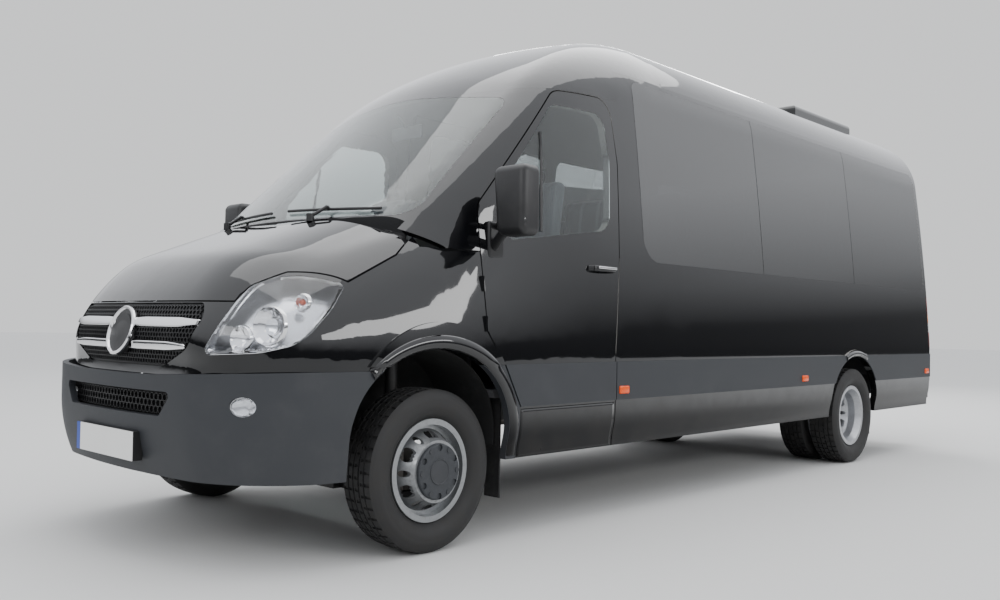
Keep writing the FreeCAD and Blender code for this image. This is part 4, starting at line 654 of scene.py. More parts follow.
def makeHubs(look):
    cap = [(along, look["capRadius"] + beyond) for along, beyond in look["capRing"]]
    cap += [(along, look["capRadius"] * share) for along, share in look["capFace"]]
    for side in ("left", "right"):
        front, rear = nodeCentre("tyre_front_" + side), nodeCentre("tyres_rear_" + side)
        nuts = makeNuts(look, look["frontFace"], front.y, front.z, 24)
        place = (look["frontFace"] + look["capStand"], front.y, front.z)
        joinInto(nuts, turnedForm(cap, (1, 0, 0), place, look["capSteps"]))
        rearNuts = makeNuts(look, look["rearFace"], rear.y, rear.z, 6)
        x = look["rearFace"] + look["valveStart"]
        foot = (x, rear.y, rear.z + look["valveCircle"])
        tip = (x + look["valveLength"], rear.y, rear.z + look["valveCircle"] * look["valveTip"])
        joinInto(rearNuts, rod(foot, tip, look["valveRadius"]))
        if side == "right":
            nuts, rearNuts = mirrorForm(nuts), mirrorForm(rearNuts)
        makePiece("hubNuts_" + side, nuts, darkPlastic, "wheel_front_" + side, "dark_plastic")
        makePiece("rearNuts_" + side, rearNuts, boltSteel, "wheel_rear_" + side, "wheel_silver")


# Honeycomb mesh, as laid in the grille and in the bumper's intake

def makeHoneycomb(look, width, low, high, inside, node):
    bm = bmesh.new()
    cell, rowShare = look["cell"], look["rowShare"]
    radius = cell / math.sqrt(3)
    rows, columns = int((high - low) / (cell * rowShare)) + 1, int(width / cell) + 1
    for row in range(rows):
        for column in range(-columns // 2, columns // 2 + 1):
            x, z = (column + 0.5 * (row % 2)) * cell, low + row * cell * rowShare
            if inside(x, z):
                turn = Matrix.Translation((x, z, 0)) @ Matrix.Rotation(math.pi / 6, 4, "Z")
                bmesh.ops.create_circle(bm, cap_ends=True, segments=6, radius=radius, matrix=turn)
    bmesh.ops.remove_doubles(bm, verts=bm.verts, dist=cell * 0.02)
    cells = bm.faces[:]
    bmesh.ops.inset_individual(bm, faces=cells, thickness=look["bar"] / 2)
    bmesh.ops.delete(bm, geom=cells, context="FACES")
    walls = bmesh.ops.extrude_face_region(bm, geom=bm.faces[:])
    raised = [item for item in walls["geom"] if isinstance(item, bmesh.types.BMVert)]
    bmesh.ops.translate(bm, vec=(0, 0, look["depth"]), verts=raised)
    lost = []
    for vert in bm.verts:  # stands the flat mesh up against the node
        met = frontPoint(node, vert.co.x, vert.co.y)
        if met is None:
            lost.append(vert)
        else:
            vert.co = (vert.co.x, met.y - look["lift"] + look["depth"] - vert.co.z, vert.co.y)
    bmesh.ops.delete(bm, geom=lost, context="VERTS")
    bmesh.ops.recalc_face_normals(bm, faces=bm.faces)
    return bm


grilleLook = {
    "cell": 0.021, "rowShare": 0.866, "bar": 0.005, "depth": 0.008, "lift": 0.009,
    "rim": 0.014, "sideRim": 0.020, "slopeHeight": 0.085, "slope": 2.1,
    "bars": ((0.075, 0.54, 0.965, 0.040), (0.045, 0.487, 0.868, 0.038)),  # inner and outer end, height, width
    "barDepth": 0.016, "barBevel": 0.006, "barLift": 0.015, "barSlices": 18,
    "outerNarrow": 0.45, "outerFrom": 0.75, "innerNarrow": 0.25, "innerTo": 0.2,
    "discRadius": 0.109, "discHeight": 0.925, "discStand": 0.018, "discAxis": (0, -1, 0.28), "discSteps": 64,
    "ring": ((0.0, 0.0), (0.007, 0.001), (0.011, 0.006), (0.010, 0.013), (0.005, 0.017), (0.0, 0.018)),
    "dish": ((-0.02, 0.103), (0.002, 0.097), (0.001, 0.0654), (0.004, 0.0327), (0.005, 0.0)),
    "spigot": (0, 0.048, -0.01), "spigotRadius": 0.0763,
}


def insideGrille(x, z):  # clear of the grille's rim
    look = grilleLook
    low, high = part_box("grille")
    reach = high[0] - look["sideRim"] - max(0.0, low[2] + look["slopeHeight"] - z) * look["slope"]
    return low[2] + look["rim"] < z < high[2] - look["rim"] and abs(x) < reach


def makeGrille(look):
    low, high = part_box("grille")
    comb = makeHoneycomb(look, high[0] - low[0], low[2], high[2], insideGrille, "grille")
    makePiece("grilleMesh", comb, blackPlastic, "body", "dark_plastic")
    bars = bmesh.new()
    for start, end, height, tall in look["bars"]:
        bar = softBox((end - start, look["barDepth"], tall), ((start + end) / 2, 0, height), look["barBevel"])
        cutAcross(bar, start, end, look["barSlices"])
        for vert in bar.verts:  # both ends narrow
            share = (vert.co.x - start) / (end - start)
            outer = max(0.0, share - look["outerFrom"]) / (1 - look["outerFrom"])
            inner = max(0.0, look["innerTo"] - share) / look["innerTo"]
            narrow = 1.0 - look["outerNarrow"] * outer - look["innerNarrow"] * inner
            vert.co.z = height + (vert.co.z - height) * narrow
        wrapFront(bar, "grille", look["barLift"])
        joinInto(bars, mirrorForm(bar))
        joinInto(bars, bar)
    makePiece("grilleBars", bars, chrome, "body", "dark_plastic")
    axis, steps = look["discAxis"], look["discSteps"]
    front = frontPoint("grille", 0.0, look["discHeight"]).y
    centre = Vector((0, front - look["discStand"], look["discHeight"]))
    ring = [(along, look["discRadius"] - inward) for along, inward in look["ring"]]
    makePiece("discRing", turnedForm(ring, axis, centre, steps), chrome, "body", "dark_plastic")
    dish = turnedForm(look["dish"], axis, centre, steps)
    makePiece("discFace", dish, blackPlastic, "body", "dark_plastic")
    spigot = rod(centre, centre + Vector(look["spigot"]), look["spigotRadius"], 32)
    makePiece("discFoot", spigot, blackPlastic, "body", "dark_plastic")


# Lamps: the CAD block's outer face becomes the cover and the rest its housing

shellLook = {
    "facing": 0.35, "coverWall": 0.003, "housingWall": 0.002,
    "headlamps": (0.69, -0.63, 0.36), "fog_lamps": (0.5, -0.86, 0),  # where each lamp looks, left side
}


def nodeForm(node):
    bm = bmesh.new()
    bm.from_mesh(cadNodes[node].data)
    bmesh.ops.remove_doubles(bm, verts=bm.verts, dist=1e-5)
    return bm


def facing(face, direction, least):  # the direction is given for the left side
    side = 1 if face.calc_center_median().x > 0 else -1
    outward = Vector((direction[0] * side, direction[1], direction[2])).normalized()
    return face.normal.dot(outward) > least


def makeLampShell(look, node):
    direction = look[node]
    cover, housing = nodeForm(node), nodeForm(node)
    others = [face for face in cover.faces if not facing(face, direction, look["facing"])]
    bmesh.ops.delete(cover, geom=others, context="FACES")
    outer = [face for face in housing.faces if facing(face, direction, look["facing"])]
    bmesh.ops.delete(housing, geom=outer, context="FACES")
    glass = makePiece(node + "Cover", cover, lampGlass, "body", "lamp_glass", 50, [node])
    addModifier(glass, "SOLIDIFY", thickness=look["coverWall"], offset=-1.0)
    case = makePiece(node + "Housing", housing, silverLamp, "body", "lamp_glass", 50, [node])
    addModifier(case, "SOLIDIFY", thickness=look["housingWall"], offset=-1.0)


bowlSet = {  # name: centre, rim radius, depth, lens radius
    "mainBowl": ((0.768, -3.185, 0.955), 0.073, 0.045, 0.034),
    "sideBowl": ((0.690, -3.262, 0.905), 0.045, 0.035, 0.0),
    "topBowl": ((0.806, -3.060, 1.050), 0.030, 0.028, 0.0),
}
bowlLook = {
    "axis": (0.30, -0.94, 0.12), "edge": 0.002, "backShare": 0.25, "backWall": 0.003,
    "rim": ((0.0, 0.0), (0.004, 0.003), (0.0, 0.007), (-0.012, 0.009), (-0.012, 0.001)),
    "lensSunk": 0.55, "lensRise": 0.55, "lensFoot": 0.01, "bulbSunk": 0.022,
    "bulb": ((0.0, 0.0), (0.004, 0.008), (0.014, 0.011), (0.024, 0.008), (0.028, 0.0)),
}


def makeBowls(places, look):
    bowls, rims, lenses = bmesh.new(), bmesh.new(), bmesh.new()
    axis = look["axis"]
    for centre, radius, depth, lensRadius in places.values():
        dish = [(-depth + depth * (i / 8) ** 2, radius * i / 8) for i in range(9)]
        back = [(-look["edge"], radius + look["edge"]), (-depth, radius * look["backShare"]),
                (-depth - look["backWall"], 0.0)]
        joinInto(bowls, turnedForm(dish + back, axis, centre, 40))
        rim = [(along, radius + outward) for along, outward in look["rim"]]
        joinInto(rims, turnedForm(rim, axis, centre, 40, closed=True))
        if lensRadius:
            angles = [math.pi / 2 * i / 8 for i in range(9)]
            dome = [(lensRadius * look["lensRise"] * math.cos(angle), lensRadius * math.sin(angle))
                    for angle in angles]
            foot = [(-look["lensFoot"], lensRadius), (-look["lensFoot"], 0.0)]
            place = Vector(centre) - Vector(axis).normalized() * depth * look["lensSunk"]
            joinInto(lenses, turnedForm(dome + foot, axis, place, 32))
    for form, finish, name in ((bowls, chrome, "lampBowls"), (rims, chrome, "lampRims"),
                               (lenses, lampGlass, "lampLenses")):
        joinInto(form, mirrorForm(form))
        makePiece(name, form, finish, "body", "lamp_glass", 40)
    place = Vector(places["topBowl"][0]) - Vector(axis) * look["bulbSunk"]
    bulb = turnedForm(look["bulb"], axis, place, 20)
    joinInto(bulb, mirrorForm(bulb))
    makePiece("turnBulbs", bulb, orangeLens, "body", "lamp_glass")


# Side markers, handles and mirrors

markerLook = {
    "places": (-1.134, 0.993, 3.330), "height": 0.650, "size": (0.018, 0.085, 0.042), "bevel": 0.008,
}


def makeMarkers(look):
    markers = bmesh.new()
    for y in look["places"]:
        met = sidePoint("side_strips", y, look["height"])[0]
        marker = softBox(look["size"], (met.x, y, look["height"]), look["bevel"])
        joinInto(markers, mirrorForm(marker))
        joinInto(markers, marker)
    makePiece("sideMarkers", markers, orangeLens, "body", "tail_lamp")


handleLook = {
    "start": -1.405, "end": -1.190, "height": 1.272, "slideStart": -0.985, "slideEnd": -0.77,
    "stand": 0.036, "tall": 0.030, "thick": 0.016, "steps": 12, "curve": 0.4,
    "lineSize": (0.006, 0.72, 0.012), "lineStand": 0.006, "lineRise": 0.004, "lineBevel": 0.0025,
    "bowlRadius": 0.05, "bowlShares": (0.05, 0.9, 0.62), "bowlAhead": 0.01, "bowlDrop": 0.045,
}


def makeHandle(look, node, start, end, side):  # curved grip that meets the skin at both ends
    places = []
    for i in range(look["steps"] + 1):
        share = i / look["steps"]
        met = sidePoint(node, start + (end - start) * share, look["height"], 0, side)[0]
        rise = look["stand"] * math.sin(math.pi * share) ** look["curve"]
        places.append(met + Vector((side * rise, 0, 0)))
    grip = chain(places, look["thick"] / 2, 10)
    for vert in grip.verts:
        vert.co.z = look["height"] + (vert.co.z - look["height"]) * look["tall"] / look["thick"]
    return grip


def makeHandles(look):
    middle, height = (look["start"] + look["end"]) / 2, look["height"]
    for side, name in ((1, "left"), (-1, "right")):
        body = "door_front_" + name
        grip = makeHandle(look, "door_" + name, look["start"], look["end"], side)
        makePiece("doorHandle_" + name, grip, blackPlastic, body, "dark_plastic")
        met = sidePoint("door_" + name, middle, height, 0, side)[0]
        thick, share, tall = look["lineSize"]
        place = (met.x + side * (look["stand"] + look["lineStand"]), middle, height + look["lineRise"])
        line = softBox((thick, (look["end"] - look["start"]) * share, tall), place, look["lineBevel"])
        makePiece("handleLine_" + name, line, chrome, body, "dark_plastic")
        hollow = bmesh.new()
        bmesh.ops.create_uvsphere(hollow, u_segments=24, v_segments=12, radius=look["bowlRadius"])
        bmesh.ops.scale(hollow, vec=look["bowlShares"], verts=hollow.verts)
        bmesh.ops.translate(hollow, vec=(met.x, middle - look["bowlAhead"], height - look["bowlDrop"]),
                            verts=hollow.verts)
        makePiece("handleBowl_" + name, hollow, blackPlastic, body, "dark_plastic")
    grip = makeHandle(look, "sliding_door", look["slideStart"], look["slideEnd"], -1)
    makePiece("slideHandle", grip, blackPlastic, "body", "dark_plastic")


mirrorLook = {
    "width": 0.188, "height": 0.312, "bevel": 0.034, "footShare": 0.86, "footCurve": 1.6, "backCurve": 0.018,
    "foot": (0.925, -2.085, 1.330), "armRadius": 0.022, "armReach": (0.045, 0.005, 0.045),
    "stayRadius": 0.013, "stayFoot": (0.0, 0.02, 0.085), "stayReach": (0.04, 0.0, 0.12),
    "plate": (0.03, 0.10, 0.17), "plateShift": (0.0, 0.012, 0.035), "plateBevel": 0.012,
    "glassInset": 0.020, "glassWall": 0.004, "glassBevel": 0.0015, "glassBack": 0.0022,
    "glassShares": ((0.66, 0.61), (0.17, 0.15)),  # height and middle of each glass
    "indicator": (1.188, -2.160, 1.425), "lens": (0.030, 0.060, 0.052), "lensBevel": 0.010,
    "bulb": (0.012, 0.022, 0.020), "bulbBevel": 0.004,
}


def makeMirrors(look):
    low, high = vectors(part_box("mirror_left"))
    low.x = high.x - look["width"]
    low.z = high.z - look["height"]
    size, centre = high - low, (high + low) / 2
    head = softBox(size, centre, look["bevel"], 5)
    for vert in head.verts:  # the back is rounder and the foot narrower
        share = (vert.co.z - low.z) / size.z
        narrow = look["footShare"] + (1 - look["footShare"]) * min(1.0, share * look["footCurve"])
        vert.co.x = high.x + (vert.co.x - high.x) * narrow
        back = (high.y - vert.co.y) / size.y
        vert.co.y += look["backCurve"] * back * (2 * abs(share - 0.5)) ** 2
    foot = Vector(look["foot"])
    dx, dy, dz = look["armReach"]
    joinInto(head, rod(foot, (low.x + dx, centre.y + dy, low.z + dz), look["armRadius"], 16))
    dx, dy, dz = look["stayReach"]
    joinInto(head, rod(foot + Vector(look["stayFoot"]), (low.x + dx, centre.y + dy, low.z + dz),
                       look["stayRadius"], 12))
    joinInto(head, softBox(look["plate"], foot + Vector(look["plateShift"]), look["plateBevel"]))
    glass = bmesh.new()
    for tall, middle in look["glassShares"]:
        joinInto(glass, softBox((size.x - 2 * look["glassInset"], look["glassWall"], size.z * tall),
                                (centre.x, high.y - look["glassBack"], low.z + size.z * middle),
                                look["glassBevel"]))
    lens = softBox(look["lens"], look["indicator"], look["lensBevel"])
    bulb = softBox(look["bulb"], look["indicator"], look["bulbBevel"])
    for form, finish, name, slotName in ((head, blackPlastic, "mirrorHead", "dark_plastic"),
                                         (glass, mirrorGlass, "mirrorGlass", "dark_glass"),
                                         (lens, lampGlass, "mirrorLens", "lamp_glass"),
                                         (bulb, orangeLens, "mirrorBulb", "tail_lamp")):
        twin = mirrorForm(form)
        for side, shape in (("left", form), ("right", twin)):
            makePiece(name + "_" + side, shape, finish, "door_front_" + side, slotName, 40,
                      ["mirror_" + side])


# Wipers on the windscreen

wiperLook = {
    "wipers": (  # x and z of the blade's two ends, foot of the arm
        ((0.655, 1.478), (0.110, 1.492), (0.36, -2.700, 1.452)),
        ((-0.02, 1.490), (-0.56, 1.474), (-0.34, -2.700, 1.452)),
    ),
    "steps": 10, "bladeLift": 0.012, "bladeRadius": 0.007, "armRadius": 0.008, "armRise": (0, -0.012, 0.012),
    "pivotRadius": 0.018, "pivot": ((0, 0, -0.02), (0, 0, 0.015)),
}


def screenPoint(x, z, lift):
    met, normal = touch("windscreen", (x, -4.5, z), (0, 1, 0))
    if normal.y > 0:
        normal = -normal
    return met + normal * lift


def makeWipers(look):
    wipers = bmesh.new()
    steps = look["steps"]
    for (x0, z0), (x1, z1), foot in look["wipers"]:
        points = [screenPoint(x0 + (x1 - x0) * i / steps, z0 + (z1 - z0) * i / steps, look["bladeLift"])
                  for i in range(steps + 1)]
        joinInto(wipers, chain(points, look["bladeRadius"]))
        middle, foot = points[steps // 2], Vector(foot)
        joinInto(wipers, chain([foot, middle + Vector(look["armRise"]), middle], look["armRadius"]))
        low, high = [foot + Vector(shift) for shift in look["pivot"]]
        joinInto(wipers, rod(low, high, look["pivotRadius"], 20))
    makePiece("wipers", wipers, blackPlastic, "body", "dark_plastic")


# Rounded lips round the wheel arches

lipLook = {  # arch centre and size, the same for the lip's outer edge, first and last angle, drop behind
    "front": ((-2.4695, 0.500, 0.440, 0.370), (-2.4550, 0.500, 0.492, 0.432), 139, 0, 0.380),
    "rear": ((1.8635, 0.440, 0.415, 0.350), (1.8635, 0.440, 0.450, 0.392), 115, 65, None),
}
lipForm = {
    "proud": 0.012, "sunk": 0.003, "wall": 0.002, "arcShare": 0.74, "round": 0.6, "along": 70, "across": 8,
    "search": 0.008, "searches": 12, "leastReach": 0.9, "usualReach": 0.96,
}


def lipPoint(look, share, across):
    inner, outer, first, last, drop = look
    arc = lipForm["arcShare"] if drop else 1.0
    angle = math.radians(first + (last - first) * min(1.0, share / arc))
    spots = [(y + run * math.cos(angle), z + rise * math.sin(angle)) for y, z, run, rise in (inner, outer)]
    y, z = [a + (b - a) * across for a, b in zip(*spots)]
    if drop and share > arc:
        z -= (z - drop) * (share - arc) / (1 - arc)
    return y, z


def outerReach(nodes, y, z):  # how far out the body is here, or else close by
    for away in range(lipForm["searches"]):
        for turn in range(8 if away else 1):
            angle, step = math.tau * turn / 8, lipForm["search"] * away
            nearby = (y + step * math.cos(angle), z + step * math.sin(angle))
            spots = [sidePoint(node, *nearby)[0] for node in nodes]
            reaches = [spot.x for spot in spots if spot and spot.x > lipForm["leastReach"]]
            if reaches:
                return max(reaches)
    return lipForm["usualReach"]


def makeLip(look, nodes):
    def place(share, across):
        y, z = lipPoint(look, share, across)
        swell = lipForm["proud"] * math.sin(math.pi * min(1.0, max(0.0, across))) ** lipForm["round"]
        return outerReach(nodes, y, z) + swell - lipForm["sunk"], y, z

    bm = sheetForm(lipForm["along"], lipForm["across"], place)
    bmesh.ops.recalc_face_normals(bm, faces=bm.faces)
    return bm


def makeLips(look):
    for name, nodes in (("front", ("wings", "side_strips", "front_bumper")),
                        ("rear", ("side_panels", "side_strips"))):
        lip = makeLip(look[name], nodes)
        joinInto(lip, mirrorForm(lip))
        piece = makePiece(name + "ArchLips", lip, plainPaint, "body", "black_paint", 60)
        addModifier(piece, "SOLIDIFY", thickness=lipForm["wall"], offset=0.0)


skinLook = {"top": 0.590, "lift": 0.0012, "wall": 0.0008, "margin": 0.006, "behindStrip": 0.10, "along": 56,
            "across": 14}


def makeSkins(look):  # smooth sheets over the tucked foot of each cab door
    low, high = vectors(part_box("door_left"))
    yLow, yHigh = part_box("door_strip_left")[0][1] + look["behindStrip"], high.y - look["margin"]
    zLow = low.z + look["margin"]

    def place(share, rise):  # a point beside the door goes to the origin
        y = yLow + (yHigh - yLow) * share
        z = zLow + (look["top"] - zLow) * rise
        met = sidePoint("door_left", y, z)[0]
        return (met.x + look["lift"], y, z) if met else (0, 0, 0)

    bm = sheetForm(look["along"], look["across"], place)
    lost = [vert for vert in bm.verts if vert.co.length == 0]
    bmesh.ops.delete(bm, geom=lost, context="VERTS")
    bmesh.ops.recalc_face_normals(bm, faces=bm.faces)
    twin = mirrorForm(bm)
    for side, form in (("left", bm), ("right", twin)):
        piece = makePiece("doorFoot_" + side, form, plainPaint, "door_front_" + side, "black_paint", 80)
        addModifier(piece, "SOLIDIFY", thickness=look["wall"], offset=-1.0)


cornerLook = {"size": (0.006, 0.042, 0.060), "place": (0.984, -2.068, 0.768), "bevel": 0.002}


def makeWingCorners(look):  # closes the corner where wing, door and strip meet
    corner = softBox(look["size"], look["place"], look["bevel"])
    joinInto(corner, mirrorForm(corner))
    makePiece("wingCorners", corner, plainPaint, "body", "black_paint")


# Padded seats, one pad and one back inflated and then fitted to each CAD cushion

padLook = {
    "voxel": 0.014, "shrink": 0.012, "bevelShare": 0.3, "pressure": 4.0, "frames": 20, "cap": 0.014,
    "seamDepth": 0.008, "seamWidth": 0.012, "seamShare": 0.18, "leanShare": 0.41, "tallFrom": 0.3,
}


def inflate(piece, look):  # cloth blown up from inside, with how far a point moves held to a cap
    before = [vert.co.copy() for vert in piece.data.vertices]
    cloth = piece.modifiers.new("cloth", "CLOTH")
    cloth.settings.use_pressure = True
    cloth.settings.uniform_pressure_force = look["pressure"]
    cloth.settings.effector_weights.gravity = 0.0
    for step in range(1, look["frames"] + 1):
        bpy.context.scene.frame_set(step)
    depsgraph = bpy.context.evaluated_depsgraph_get()
    after = [vert.co.copy() for vert in piece.evaluated_get(depsgraph).data.vertices]
    piece.modifiers.remove(cloth)
    bpy.context.scene.frame_set(1)
    for vert, start, end in zip(piece.data.vertices, before, after):
        move = end - start
        if move.length > look["cap"]:
            move *= look["cap"] / move.length
        vert.co = start + move


def pressSeams(form, size, look):  # two grooves that part the middle from the bolsters
    thin = min(range(3), key=lambda axis: size[axis])
    for vert in form.verts:
        share = vert.co.x / size[0]
        for seam in (look["seamShare"], 1 - look["seamShare"]):
            near = abs(share - seam) * size[0] / look["seamWidth"]
            if near < 1:
                pull = look["seamDepth"] * (1 - near * near)
                vert.co[thin] -= math.copysign(pull, vert.co[thin] - size[thin] / 2)


def makePad(size, look):  # pad of one size with its low corner at the origin
    bm = softBox([side - 2 * look["shrink"] for side in size], [side / 2 for side in size],
                 min(size) * look["bevelShare"], 4)
    mesh = bpy.data.meshes.new("padShape")
    bm.to_mesh(mesh)
    bm.free()
    piece = addObject("padShape", mesh)
    addModifier(piece, "REMESH", mode="VOXEL", voxel_size=look["voxel"])
    depsgraph = bpy.context.evaluated_depsgraph_get()
    piece.data = bpy.data.meshes.new_from_object(piece.evaluated_get(depsgraph))
    piece.modifiers.clear()
    inflate(piece, look)
    form = bmesh.new()
    form.from_mesh(piece.data)
    bpy.data.objects.remove(piece)
    pressSeams(form, size, look)
    return form


def islandBoxes(bm):  # low and high corner of each loose part of a form
    boxes = []
    left = set(bm.verts)
    while left:
        island, edge = set(), [left.pop()]
        while edge:
            vert = edge.pop()
            island.add(vert)
            for link in vert.link_edges:
                other = link.other_vert(vert)
                if other in left:
                    left.discard(other)
                    edge.append(other)
        low = Vector([min(vert.co[axis] for vert in island) for axis in range(3)])
        high = Vector([max(vert.co[axis] for vert in island) for axis in range(3)])
        boxes.append((low, high))
    return boxes


def spreadPads(shape, places, narrow, lean):  # a wide cushion takes several pads side by side
    pads = bmesh.new()
    for low, high in places:
        width = high.x - low.x
        count = max(1, round(width / narrow))
        for i in range(count):
            copy = shape.copy()
            bmesh.ops.scale(copy, vec=(width / count / narrow, 1, 1), verts=copy.verts)
            for vert in copy.verts:
                vert.co.y += lean * (high.y - low.y) * vert.co.z / (high.z - low.z)
            bmesh.ops.translate(copy, vec=(low.x + i * width / count, low.y, low.z), verts=copy.verts)
            joinInto(pads, copy)
    shape.free()
    return pads


def makeSeats(look):
    shells = nodeForm("seat_cushions")
    boxes = islandBoxes(shells)
    shells.free()
    flat = [(low, high) for low, high in boxes if high.z - low.z < look["tallFrom"]]
    tall = [(low, high) for low, high in boxes if high.z - low.z > look["tallFrom"]]
    narrow = min(high.x - low.x for low, high in flat)
    lowSize, highSize = flat[0][1] - flat[0][0], tall[0][1] - tall[0][0]
    padShape = makePad((narrow, lowSize.y, lowSize.z), look)
    backShape = makePad((narrow, highSize.y * (1 - look["leanShare"]), highSize.z), look)
    pads = spreadPads(padShape, flat, narrow, 0.0)
    backs = spreadPads(backShape, tall, narrow, look["leanShare"])
    for name, form in (("seatPads", pads), ("seatBacks", backs)):
        piece = makePiece(name, form, seatCloth, "body", "seat_fabric", 80, ["seat_cushions"])


# Intake mesh, window bars, roof unit, cabin and rear details

intakeLook = {
    "low": 0.585, "high": 0.698, "half": 0.47,
    "cell": 0.030, "rowShare": 0.866, "bar": 0.006, "depth": 0.01, "lift": 0.014,
    "backing": 0.02, "backingWall": 0.004, "sunk": 0.055, "sweep": 0.13, "sweepHalf": 0.99,
    "edge": 0.01, "sideEdge": 0.02, "along": 24, "across": 4,
}


def makeIntake(look):
    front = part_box("front_bumper")[0][1] + look["sunk"]

    def place(share, rise):
        x = (share - 0.5) * 2 * (look["half"] + look["backing"])
        z = look["low"] + rise * (look["high"] - look["low"])
        return x, front + look["sweep"] * (x / look["sweepHalf"]) ** 2, z

    sheet = sheetForm(look["along"], look["across"], place)
    backing = makePiece("intakeBacking", sheet, linerPlastic, "body", "dark_plastic")
    addModifier(backing, "SOLIDIFY", thickness=look["backingWall"], offset=0.0)
    form = bmesh.new()
    form.from_mesh(backing.data)
    trees["intakeBacking"] = BVHTree.FromBMesh(form)
    form.free()

    def inside(x, z):
        clear = look["low"] + look["edge"] < z < look["high"] - look["edge"]
        return clear and abs(x) < look["half"] - look["sideEdge"]

    comb = makeHoneycomb(look, 2 * look["half"], look["low"], look["high"], inside, "intakeBacking")
    makePiece("intakeMesh", comb, blackPlastic, "body", "dark_plastic")


dividerLook = {"top": (-1.710, 1.995), "foot": (-1.757, 1.430), "radius": 0.0085, "lift": 0.001, "steps": 8}


def makeDividers(look):  # upright bar in each cab door's window
    for side, name in ((1, "left"), (-1, "right")):
        points = []
        for i in range(look["steps"] + 1):
            share = i / look["steps"]
            y, z = [a + (b - a) * share for a, b in zip(look["top"], look["foot"])]
            met = sidePoint("door_glass_" + name, y, z, look["lift"], side)[0]
            if met:
                points.append(met)
        makePiece("windowBar_" + name, chain(points, look["radius"]), blackPlastic, "door_front_" + name,
                  "dark_plastic")


slotLook = {"count": 9, "size": (0.06, 0.30, 0.004), "bevel": 0.0015, "spread": 0.8, "rows": (0.3, 0.7),
            "sunk": 0.0018}


def makeRoofSlots(look):
    low, high = vectors(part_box("roof_unit"))
    size = high - low
    slots = bmesh.new()
    for i in range(look["count"]):
        x = look["spread"] * (low.x + size.x * i / (look["count"] - 1))
        for row in look["rows"]:
            place = (x, low.y + size.y * row, high.z - look["sunk"])
            joinInto(slots, softBox(look["size"], place, look["bevel"]))
    makePiece("roofUnitSlots", slots, linerPlastic, "body", "dark_plastic")


cabinLook = {  # boxes are size, place and bevel; the hood's places are from the dashboard's rear top edge
    "mirror": ((0.24, 0.016, 0.075), (0.0, -1.79, 2.02), 0.007),
    "mirrorStem": ((0, -1.80, 2.05), (0, -1.86, 2.10), 0.008),
    "hood": ((0.40, 0.16, 0.07), (0.48, -0.20, -0.01), 0.03),
    "panel": ((0.26, 0.03, 0.20), (0.0, -0.012, -0.18), 0.012),
    "lever": ((0.05, 0.0, -0.27), (0.05, 0.05, -0.13), 0.011),
}


def makeCabinDetails(look):
    mirror = softBox(*look["mirror"])
    joinInto(mirror, rod(*look["mirrorStem"]))
    makePiece("innerMirror", mirror, cabinPlastic, "body", "cabin_plastic")
    high = vectors(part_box("dashboard"))[1]
    edge = Vector((0, high.y, high.z))
    details = bmesh.new()
    for key in ("hood", "panel"):
        size, shift, bevel = look[key]
        joinInto(details, softBox(size, edge + Vector(shift), bevel))
    start, end, radius = look["lever"]
    joinInto(details, rod(edge + Vector(start), edge + Vector(end), radius, 16))
    makePiece("dashDetails", details, blackPlastic, "body", "cabin_plastic")


rearLook = {"handle": (0.05, 0.012, 0.16), "handleSide": 0.06, "handleSunk": 0.008, "handleHeight": 1.16,
            "handleBevel": 0.005, "stop": (0.30, 0.010, 0.030), "stopSunk": 0.006, "stopHeight": 2.505,
            "stopBevel": 0.004}


def makeRearDetails(look):
    low, high = vectors(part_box("rear_door_left"))
    place = (low.x + look["handleSide"], high.y - look["handleSunk"], look["handleHeight"])
    handle = softBox(look["handle"], place, look["handleBevel"])
    makePiece("rearHandle", handle, blackPlastic, "door_rear_left", "dark_plastic")
    place = (0.0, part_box("rear_frame")[1][1] - look["stopSunk"], look["stopHeight"])
    stop = softBox(look["stop"], place, look["stopBevel"])
    makePiece("highStopLamp", stop, tailLens, "body", "tail_lamp")


makeTyres(treadLook)
makeHubs(nutLook)
print("wheels made")
makeGrille(grilleLook)
makeLampShell(shellLook, "headlamps")
makeLampShell(shellLook, "fog_lamps")
makeBowls(bowlSet, bowlLook)
makeIntake(intakeLook)
print("front made")
makeMarkers(markerLook)
makeHandles(handleLook)
makeMirrors(mirrorLook)
makeWipers(wiperLook)
makeLips(lipLook)
makeSkins(skinLook)
makeWingCorners(cornerLook)
makeDividers(dividerLook)
makeRoofSlots(slotLook)
print("sides made")
makeSeats(padLook)
makeCabinDetails(cabinLook)
makeRearDetails(rearLook)
print("seats and details made")


# Camera, as fitted to the photograph

cameraLook = {"place": (3.858, -5.2745, 0.974), "yaw": 45.14, "pitch": 1.48, "roll": 1.02, "lens": 34.08,
              "shift": 0.05}


def makeCamera(look):
    yaw, pitch, roll = [math.radians(look[key]) for key in ("yaw", "pitch", "roll")]
    ahead = Vector((-math.sin(yaw) * math.cos(pitch), math.cos(yaw) * math.cos(pitch), math.sin(pitch)))
    level = ahead.cross(Vector((0, 0, 1))).normalized()
    lifted = level.cross(ahead)
    right = level * math.cos(roll) + lifted * math.sin(roll)
    up = lifted * math.cos(roll) - level * math.sin(roll)
    data = bpy.data.cameras.new("camera")
    data.lens = look["lens"]
    data.shift_x = look["shift"]
    camera = addObject("camera", data)
    turn = Matrix((right, up, -ahead)).transposed().to_4x4()
    camera.matrix_world = Matrix.Translation(look["place"]) @ turn
    bpy.context.scene.camera = camera


makeCamera(cameraLook)

# Floor, sky and lamps

stageLook = {
    "floorRadius": 60.0, "floorColour": (0.62, 0.62, 0.61, 1), "floorRoughness": 0.9,
    "skyStrength": 1.12, "skyTint": (0.97, 0.99, 1.03), "pale": (0.86, 0.87, 0.88, 1),
    "skyStops": ((0.0, 0.3), (0.49, 0.05), (0.53, 0.09), (0.56, 0.5), (0.62, 1.05), (0.7, 1.2), (1.0, 1.4)),
}


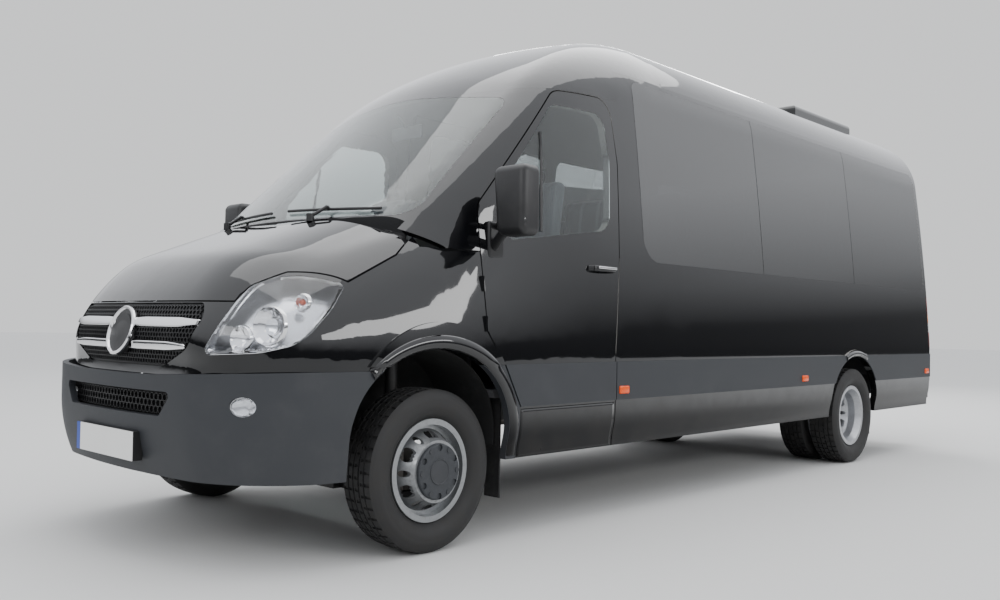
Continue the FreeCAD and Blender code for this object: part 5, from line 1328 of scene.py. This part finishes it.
def makeFloor(look):
    bm = bmesh.new()
    bmesh.ops.create_circle(bm, cap_ends=True, segments=96, radius=look["floorRadius"])
    mesh = bpy.data.meshes.new("studioFloor")
    bm.to_mesh(mesh)
    bm.free()
    finish = Finish("studioFloor")
    finish.feed(Base_Color=look["floorColour"], Roughness=look["floorRoughness"])
    mesh.materials.append(finish.material)
    floor = addObject("studioFloor", mesh)


def makeSky(look):  # pale to the eye; a soft sky above and darker surroundings in what shines
    world = bpy.data.worlds.new("studioSky")
    bpy.context.scene.world = world
    world.use_nodes = True
    tree = world.node_tree
    nodes, links = tree.nodes, tree.links
    background = nodes["Background"]
    place = nodes.new("ShaderNodeTexCoord")
    split = nodes.new("ShaderNodeSeparateXYZ")
    ramp = nodes.new("ShaderNodeValToRGB")
    stops = look["skyStops"]
    while len(ramp.color_ramp.elements) < len(stops):
        ramp.color_ramp.elements.new(0.5)
    for element, (position, grey) in zip(ramp.color_ramp.elements, stops):
        element.position = position
        element.color = [grey * tint for tint in look["skyTint"]] + [1]
    height = nodes.new("ShaderNodeMapRange")
    height.inputs["From Min"].default_value = -1.0
    links.new(place.outputs["Generated"], split.inputs[0])
    links.new(split.outputs["Z"], height.inputs["Value"])
    links.new(height.outputs[0], ramp.inputs[0])
    eye = nodes.new("ShaderNodeLightPath")
    pale = nodes.new("ShaderNodeMix")
    pale.data_type = "RGBA"
    pale.inputs[7].default_value = look["pale"]
    links.new(eye.outputs["Is Camera Ray"], pale.inputs[0])
    links.new(ramp.outputs[0], pale.inputs[6])
    links.new(pale.outputs[2], background.inputs["Color"])
    background.inputs["Strength"].default_value = look["skyStrength"]


lampSet = {  # name: place, target, width, height, watts
    "skyPanel": ((0.0, 0.5, 7.5), (0.0, 0.0, 0.0), 6.0, 12.0, 400.0),
    "frontPanel": ((2.5, -10.5, 5.0), (0.0, -2.0, 1.0), 5.0, 2.5, 110.0),
    "sidePanel": ((10.0, 1.0, 4.2), (0.0, 0.5, 1.2), 9.0, 1.2, 260.0),
    "rearPanel": ((-6.0, 9.0, 5.0), (0.0, 1.0, 1.0), 5.0, 3.0, 500.0),
}


def makeLamps(lamps):
    for name, (place, target, width, height, watts) in lamps.items():
        data = bpy.data.lights.new(name, "AREA")
        data.shape = "RECTANGLE"
        data.size = width
        data.size_y = height
        data.energy = watts
        lamp = addObject(name, data)
        lamp.location = place
        lamp.rotation_euler = (Vector(target) - Vector(place)).to_track_quat("-Z", "Y").to_euler()


makeFloor(stageLook)
makeSky(stageLook)
makeLamps(lampSet)
print("camera and studio made")
